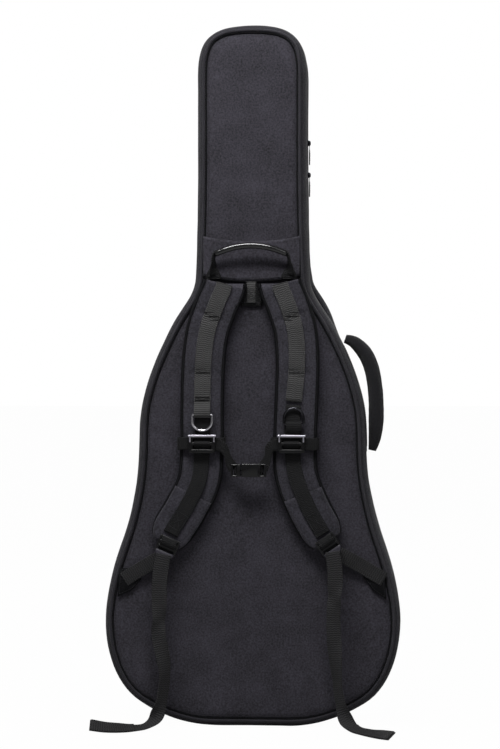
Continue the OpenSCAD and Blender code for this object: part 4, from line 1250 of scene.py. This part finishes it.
def add_pocket():
    rings, lap = [], None
    for d, y in ((0, POCKET_Y - 1.5), (0, POCKET_Y + 2), (-1.0, POCKET_Y + 12), (-1.0, POCKET_Y + 20),
                 (0, POCKET_FACE - 2), (1, POCKET_FACE + 0.2), (3.2, POCKET_FACE + 0.2), (2.6, POCKET_Y + 20),
                 (2.6, POCKET_Y + 2)):
        base = pocket_ring(max(d, 0))
        if lap is None:
            count = len(base)
            lap = np.concatenate([[0], np.cumsum(np.linalg.norm(np.diff(base, axis=0), axis=1))])
        if len(base) != count:
            run = np.concatenate([[0], np.cumsum(np.linalg.norm(np.diff(base, axis=0), axis=1))])
            at = lap / lap[-1] * run[-1]
            base = np.stack([np.interp(at, run, base[:, k]) for k in range(2)], 1)
        rings.append([(x + ripple(x, y, z, 60, 0.8, 51) + (0.7 if d < 0 else 0) * np.sign(x), y, z)
                      for x, z in base])
    Build().rings(rings, closed_run=True, lap=lap).make("pocket_wall", "wall", "front_lid",
                                                       replaces=("pocket_gusset",))
    edge = [(x, POCKET_FACE + 0.6, z) for x, z in pocket_ring(1.4)]
    tube(Build(), edge, 2.3, 8, closed=True).make("pocket_piping", "piping", "front_lid")
    for part, z0, z1 in (("lower", None, POCKET_ZIP_Z - 7), ("upper", POCKET_ZIP_Z + 7, POCKET_TOP - 1.6)):
        add_pocket_cloth(part, z0, z1)


def add_pocket_cloth(part, z0, z1):
    """One padded field of the pocket's face; the zipper runs in the seam between the two."""
    z_low = POCKET_BOTTOM + 2.2 if z0 is None else z0
    rows = 110 if z0 is None else 22
    grid = []
    for r in range(rows + 1):
        z = z_low + (z1 - z_low) * r / rows
        half = max(8.0, half_at(max(z, 3.2), 4.8)) if z > POCKET_BOTTOM + 2.2 else half_at(POCKET_BOTTOM + 3, 4.8)
        grid.append([(half * (0.6 * u + 0.4 * math.sin(math.pi / 2 * u)), z) for u in np.linspace(-1, 1, 61)])
    grid = np.array(grid)
    flat = grid.reshape(-1, 2)
    deep = np.minimum(edge_distance(flat, 4.8), np.minimum(flat[:, 1] - z_low, z1 - flat[:, 1]))
    verts = []
    for (x, z), q in zip(flat, 1 - np.exp(-np.maximum(deep, 0) / 6)):
        lift = 4.2 * q + q * (ripple(x, 61, z, 90, 1.6, 61) + ripple(x, 61, z * 1.4, 30, 0.7, 62))
        verts.append((x, POCKET_FACE + 0.7 + lift, z))
    m = grid.shape[1]
    build = Build()
    build.rings([verts[i * m:(i + 1) * m] for i in range(rows + 1)], closed_ring=False, lap=grid[rows // 2, :, 0],
                run=grid[:, 0, 1])
    build.uvs = [(x, z) for x, z in flat]
    obj = build.make("pocket_face_" + part, "cloth", "front_lid",
                     replaces=("pocket_panel",) if part == "lower" else ())
    if obj.data.polygons[len(obj.data.polygons) // 2].normal.y < 0:
        obj.data.flip_normals()
    mod = obj.modifiers.new("cloth", "SOLIDIFY")
    mod.thickness = 1.6 * MM
    mod.offset = -1


def coil(build, p, q, count, s, y, depth=1.8):
    """A row of zipper teeth between two points of x and z; s is the side the teeth root on."""
    p, q = np.array(p, dtype=float), np.array(q, dtype=float)
    along = (q - p) / np.linalg.norm(q - p)
    side = np.array((-along[1], along[0])) * s
    step = np.linalg.norm(q - p) / count
    for k in range(count):
        at = p + along * step * (k + (0.25 if s > 0 else 0.75))
        a, b = at - along * 0.55 - side * 0.5, at + along * 0.55 + side * 2.1
        lo = (min(a[0], b[0]), y, min(a[1], b[1]))
        hi = (max(a[0], b[0]), y + depth, max(a[1], b[1]))
        build.block(lo, hi)


def add_pocket_zip():
    y = POCKET_FACE + 0.5
    tape = Build()
    for s in (-1, 1):
        route = [(x, y + 0.1, POCKET_ZIP_Z + s * 5.2) for x in np.linspace(-POCKET_ZIP_HALF, POCKET_ZIP_HALF, 20)]
        ribbon(tape, [np.array(p) for p in route], 8.4, 1.2, outward=(0, 1, 0))
    tape.make("pocket_zip_tape", "dark_web", "front_lid", replaces=("pocket_zipper",))
    teeth = Build()
    for s in (-1, 1):
        coil(teeth, (-POCKET_ZIP_HALF + 2, POCKET_ZIP_Z), (POCKET_ZIP_HALF - 2, POCKET_ZIP_Z), 62, s, y - 0.2, 1.1)
    for x in (-POCKET_ZIP_HALF + 1, POCKET_ZIP_HALF - 1):
        teeth.block((x - 1.2, y - 0.3, POCKET_ZIP_Z - 3), (x + 1.2, y + 1.2, POCKET_ZIP_Z + 3))
    teeth.make("pocket_zip_teeth", "plastic", "front_lid", flat=True)
    seams = Build()
    for s in (-1, 1):
        stitches(seams, [(x, y + 4.6, POCKET_ZIP_Z + s * 12.5) for x in (-POCKET_ZIP_HALF, POCKET_ZIP_HALF)],
                 pitch=3.8, length=2.7, outward=(0, 1, 0))
    seams.make("pocket_zip_stitches", "thread", "front_lid")


add_pocket()
add_pocket_zip()

# ---------------------------------------------------------------- sliders and pulls


def slider_parts(place, hang, name, body, pull_body, cad, pull_cad):
    """A cast slider with its bridge, and its pull; place and hang map their local points."""
    s = Build()
    outline_pts = [(-4.6, -6.4), (-5, 2), (-4.2, 6.2), (-1.2, 7), (1.2, 7), (4.2, 6.2), (5, 2), (4.6, -6.4), (2, -7),
                   (-2, -7)]
    z0, z1 = 0.05, 2.4
    s.rings([[place((x * shrink, y * shrink, z)) for x, y in outline_pts]
             for z, shrink in ((z0, 0.93), (z0 + 0.3, 1), (z1 - 0.5, 1), (z1, 0.9))])
    for side in (-1, 1):
        rings = []
        for y, top in ((-4, 3.2), (-3.4, 5.4), (-1.6, 6.35), (1.6, 6.35), (3.4, 5.4), (4, 3.2)):
            rings.append([place((side * 3 + dx, y, z)) for dx, z in ((-0.55, 2.2), (0.55, 2.2), (0.55, top),
                                                                      (-0.55, top))])
        s.rings(rings)
    s.make(name + "_body", "gunmetal", body, replaces=(cad,))
    t = Build()
    rings = []
    profile = [(0, 1.9), (-2, 1.9), (-9, 1.9), (-12, 2.4), (-14, 3.7), (-20, 3.95), (-27, 3.95), (-32, 3.5), (-34, 2.2)]
    for y, half in profile:
        thick = 0.5 if y > -11 else 0.95
        rings.append([hang((half * rounded(math.cos(a), 0.6), y,
                             4.4 + thick * rounded(math.sin(a), 0.7)))
                      for a in (TAU * k / 16 for k in range(16))])
    t.rings(rings)
    rings = [[hang((x, 0.75 * math.cos(a), 4.4 + 0.75 * math.sin(a))) for a in (TAU * k / 12 for k in range(12))]
             for x in (-3.5, -1, 1, 3.5)]
    t.rings(rings)
    for k in range(5):
        y = -16 - 2.6 * k
        rings = [[hang((x, y + 0.45 * math.cos(a), 5.3 + 0.4 * math.sin(a))) for a in (TAU * j / 8 for j in range(8))]
                 for x in (-2.8, 0, 2.8)]
        t.rings(rings)
    t.make(name + "_pull", "gunmetal", pull_body, replaces=(pull_cad,))


def on_pocket(p):
    """Local slider point to the pocket's zipper."""
    x, y, z = p
    return np.array((-64 + y, POCKET_FACE + 1.6 + z, POCKET_ZIP_Z + x))


slider_parts(on_pocket, on_pocket, "pocket_zip", "pocket_slider", "pocket_pull", "pocket_slider", "pocket_pull")


def on_neck(s, runs):
    """Local slider point to the neck's zipper: s picks the upper or lower slider, runs the way y goes."""
    def place(p):
        x, y, z = p
        return np.array((82.5 + z, ZIP_Y - x, 880 + s * 25 + runs * y))
    return place


slider_parts(on_neck(1, -1), on_neck(1, 1), "main_zip_upper", "main_slider_upper", "main_pull_upper",
             "main_slider_upper", "main_pull_upper")
slider_parts(on_neck(-1, 1), on_neck(-1, 1), "main_zip_lower", "main_slider_lower", "main_pull_lower",
             "main_slider_lower", "main_pull_lower")

# ---------------------------------------------------------------- inside the back shell


def cad_box(name):
    lo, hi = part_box(name)
    return [c / MM for c in lo], [c / MM for c in hi]


def add_cradle():
    """Neck cradle: a plush block with a round saddle, and the strap that closes over it."""
    (x0, y0, z0), (x1, y1, z1) = cad_box("neck_cradle")
    rings = []
    for z, shrink in ((z0, 2.2), (z0 + 0.8, 0.8), (z0 + 3, 0), (0.5 * (z0 + z1), 0), (z1 - 3, 0), (z1 - 0.8, 0.8),
                      (z1, 2.2)):
        saddle = [(30 * math.sin(a) + shrink * math.sin(a), y0 + 42 - (30 + shrink) * math.cos(a))
                  for a in np.linspace(-1.25, 1.25, 25)]
        left = [(x0 + shrink, y0 + shrink), (x0 + shrink, y0 + 17), (x0 + shrink, y1 - 5 - shrink),
                (x0 + 1.6 + shrink, y1 - 1.5 - shrink), (x0 + 5 + shrink, y1 - shrink), (-31, y1 - shrink)]
        right = [(-x, y) for x, y in reversed(left)]
        base = [(x, y0 + shrink) for x in (x1 * 0.5, 0, x0 * 0.5)]
        rings.append([(x, y, z) for x, y in left + saddle + right + base])
    cradle = Build().rings(rings)
    cradle.uvs = [(v[0] + v[1], v[2]) for v in cradle.verts]
    cradle.make("cradle", "plush", "back_shell", replaces=("neck_cradle",))
    (x0, y0, z0), (x1, y1, z1) = cad_box("neck_tie_strap")
    build, zm = Build(), (z0 + z1) / 2
    ribbon(build, smooth_route([(x0, y0 - 8, zm), (x0 + 1.5, y0 + 0.4, zm), (x0 + 20, y0 + 1.2, zm), (0, y0 + 0.4, zm),
                                (x1 - 20, y0 + 1.0, zm), (x1 - 1.5, y0 + 0.4, zm), (x1, y0 - 8, zm)], 6),
           37, 1.6, outward=(0, 1, 0))
    ribbon(build, smooth_route([(x0 + 1, y0 + 2.6, zm), (x0 + 20, y0 + 3.2, zm), (x0 + 42, y0 + 2.7, zm)], 6),
           37, 1.6, outward=(0, 1, 0))
    build.make("tie_strap", "webbing", "back_shell", replaces=("neck_tie_strap",))
    seams = Build()
    for x in (x0 + 38, x0 + 30):
        stitches(seams, [(x, y0 + 3.9, zm - 15), (x, y0 + 3.9, zm + 15)], pitch=3, length=2.2, outward=(0, 1, 0))
    seams.make("tie_stitches", "thread", "back_shell")


def add_base_block():
    (x0, y0, z0), (x1, y1, z1) = cad_box("base_block")
    rings = []
    for t, shrink in ((0, 3), (0.03, 1), (0.12, 0), (0.5, -0.3), (0.88, 0), (0.97, 1), (1, 3)):
        x = x0 + (x1 - x0) * t
        hy, hz = (y1 - y0) / 2 - shrink, (z1 - z0) / 2 - shrink
        rings.append([(x, (y0 + y1) / 2 + hy * rounded(math.cos(a), 0.3),
                       (z0 + z1) / 2 + hz * rounded(math.sin(a), 0.3))
                      for a in (TAU * k / 32 for k in range(32))])
    Build().rings(rings).make("base_pad", "plush", "back_shell", replaces=("base_block",))


add_cradle()
add_base_block()

# ---------------------------------------------------------------- floor, backdrop and light
FLOOR_REACH = 30
FLOOR_TONE = 0.42
FLOOR_SHOWN = 0.985
WORLD_LIGHT = 0.15
WHITE = (1, 1, 1, 1)


def seen_as(owner, kind, shown, lit, plain, output):
    """A surface or backdrop that lights the scene as lit and shows itself to the camera as plain."""
    owner.use_nodes = True
    tree = owner.node_tree
    tree.nodes.clear()
    camera_ray = Sock(tree, node(tree, "ShaderNodeLightPath").outputs["Is Camera Ray"])
    lit = node(tree, kind, None, lit)
    plain = node(tree, plain, None, {"Color": WHITE, "Strength": 1.0})
    mix = node(tree, "ShaderNodeMixShader", None, {0: camera_ray * shown, 1: lit.outputs[0], 2: plain.outputs[0]})
    node(tree, output, None, {0: mix.outputs[0]})


def add_stage():
    mesh = bpy.data.meshes.new("floor")
    corners = [(x * FLOOR_REACH, y * FLOOR_REACH, 0) for x, y in ((-1, -1), (1, -1), (1, 1), (-1, 1))]
    mesh.from_pydata(corners, [], [(0, 1, 2, 3)])
    floor = bpy.data.objects.new("floor", mesh)
    bpy.context.scene.collection.objects.link(floor)
    mat = bpy.data.materials.new("pale_floor")
    seen_as(mat, "ShaderNodeBsdfDiffuse", FLOOR_SHOWN, {"Color": (FLOOR_TONE, FLOOR_TONE, FLOOR_TONE, 1)},
            "ShaderNodeEmission", "ShaderNodeOutputMaterial")
    mesh.materials.append(mat)
    world = bpy.data.worlds.new("studio")
    bpy.context.scene.world = world
    seen_as(world, "ShaderNodeBackground", 1.0, {"Color": WHITE, "Strength": WORLD_LIGHT},
            "ShaderNodeBackground", "ShaderNodeOutputWorld")


def add_lamp(name, at, size, watts, aim=(0, 0, 0.6)):
    data = bpy.data.lights.new(name, "AREA")
    data.energy = watts
    data.shape = "RECTANGLE"
    data.size, data.size_y = size
    lamp = bpy.data.objects.new(name, data)
    lamp.location = at
    lamp.rotation_euler = (Vector(aim) - Vector(at)).to_track_quat("-Z", "Y").to_euler()
    bpy.context.scene.collection.objects.link(lamp)


bpy.context.scene.view_settings.view_transform = "Standard"
add_stage()
add_lamp("key", (-0.3, -1.15, 2.45), (1.6, 0.5), 68, (0, 0, 1.0))
add_lamp("fill", (1.4, -2.4, 2.1), (1.2, 1.2), 8, (0, 0, 0.8))
add_lamp("rim_left", (-2.2, 1.2, 1.4), (0.6, 2.0), 7, (0, 0, 0.5))
add_lamp("rim_right", (2.2, 1.4, 1.5), (0.6, 2.0), 7, (0, 0, 0.5))
add_lamp("front_side", (0.6, 3.0, 2.4), (1.6, 1.2), 44, (0, 0, 0.6))
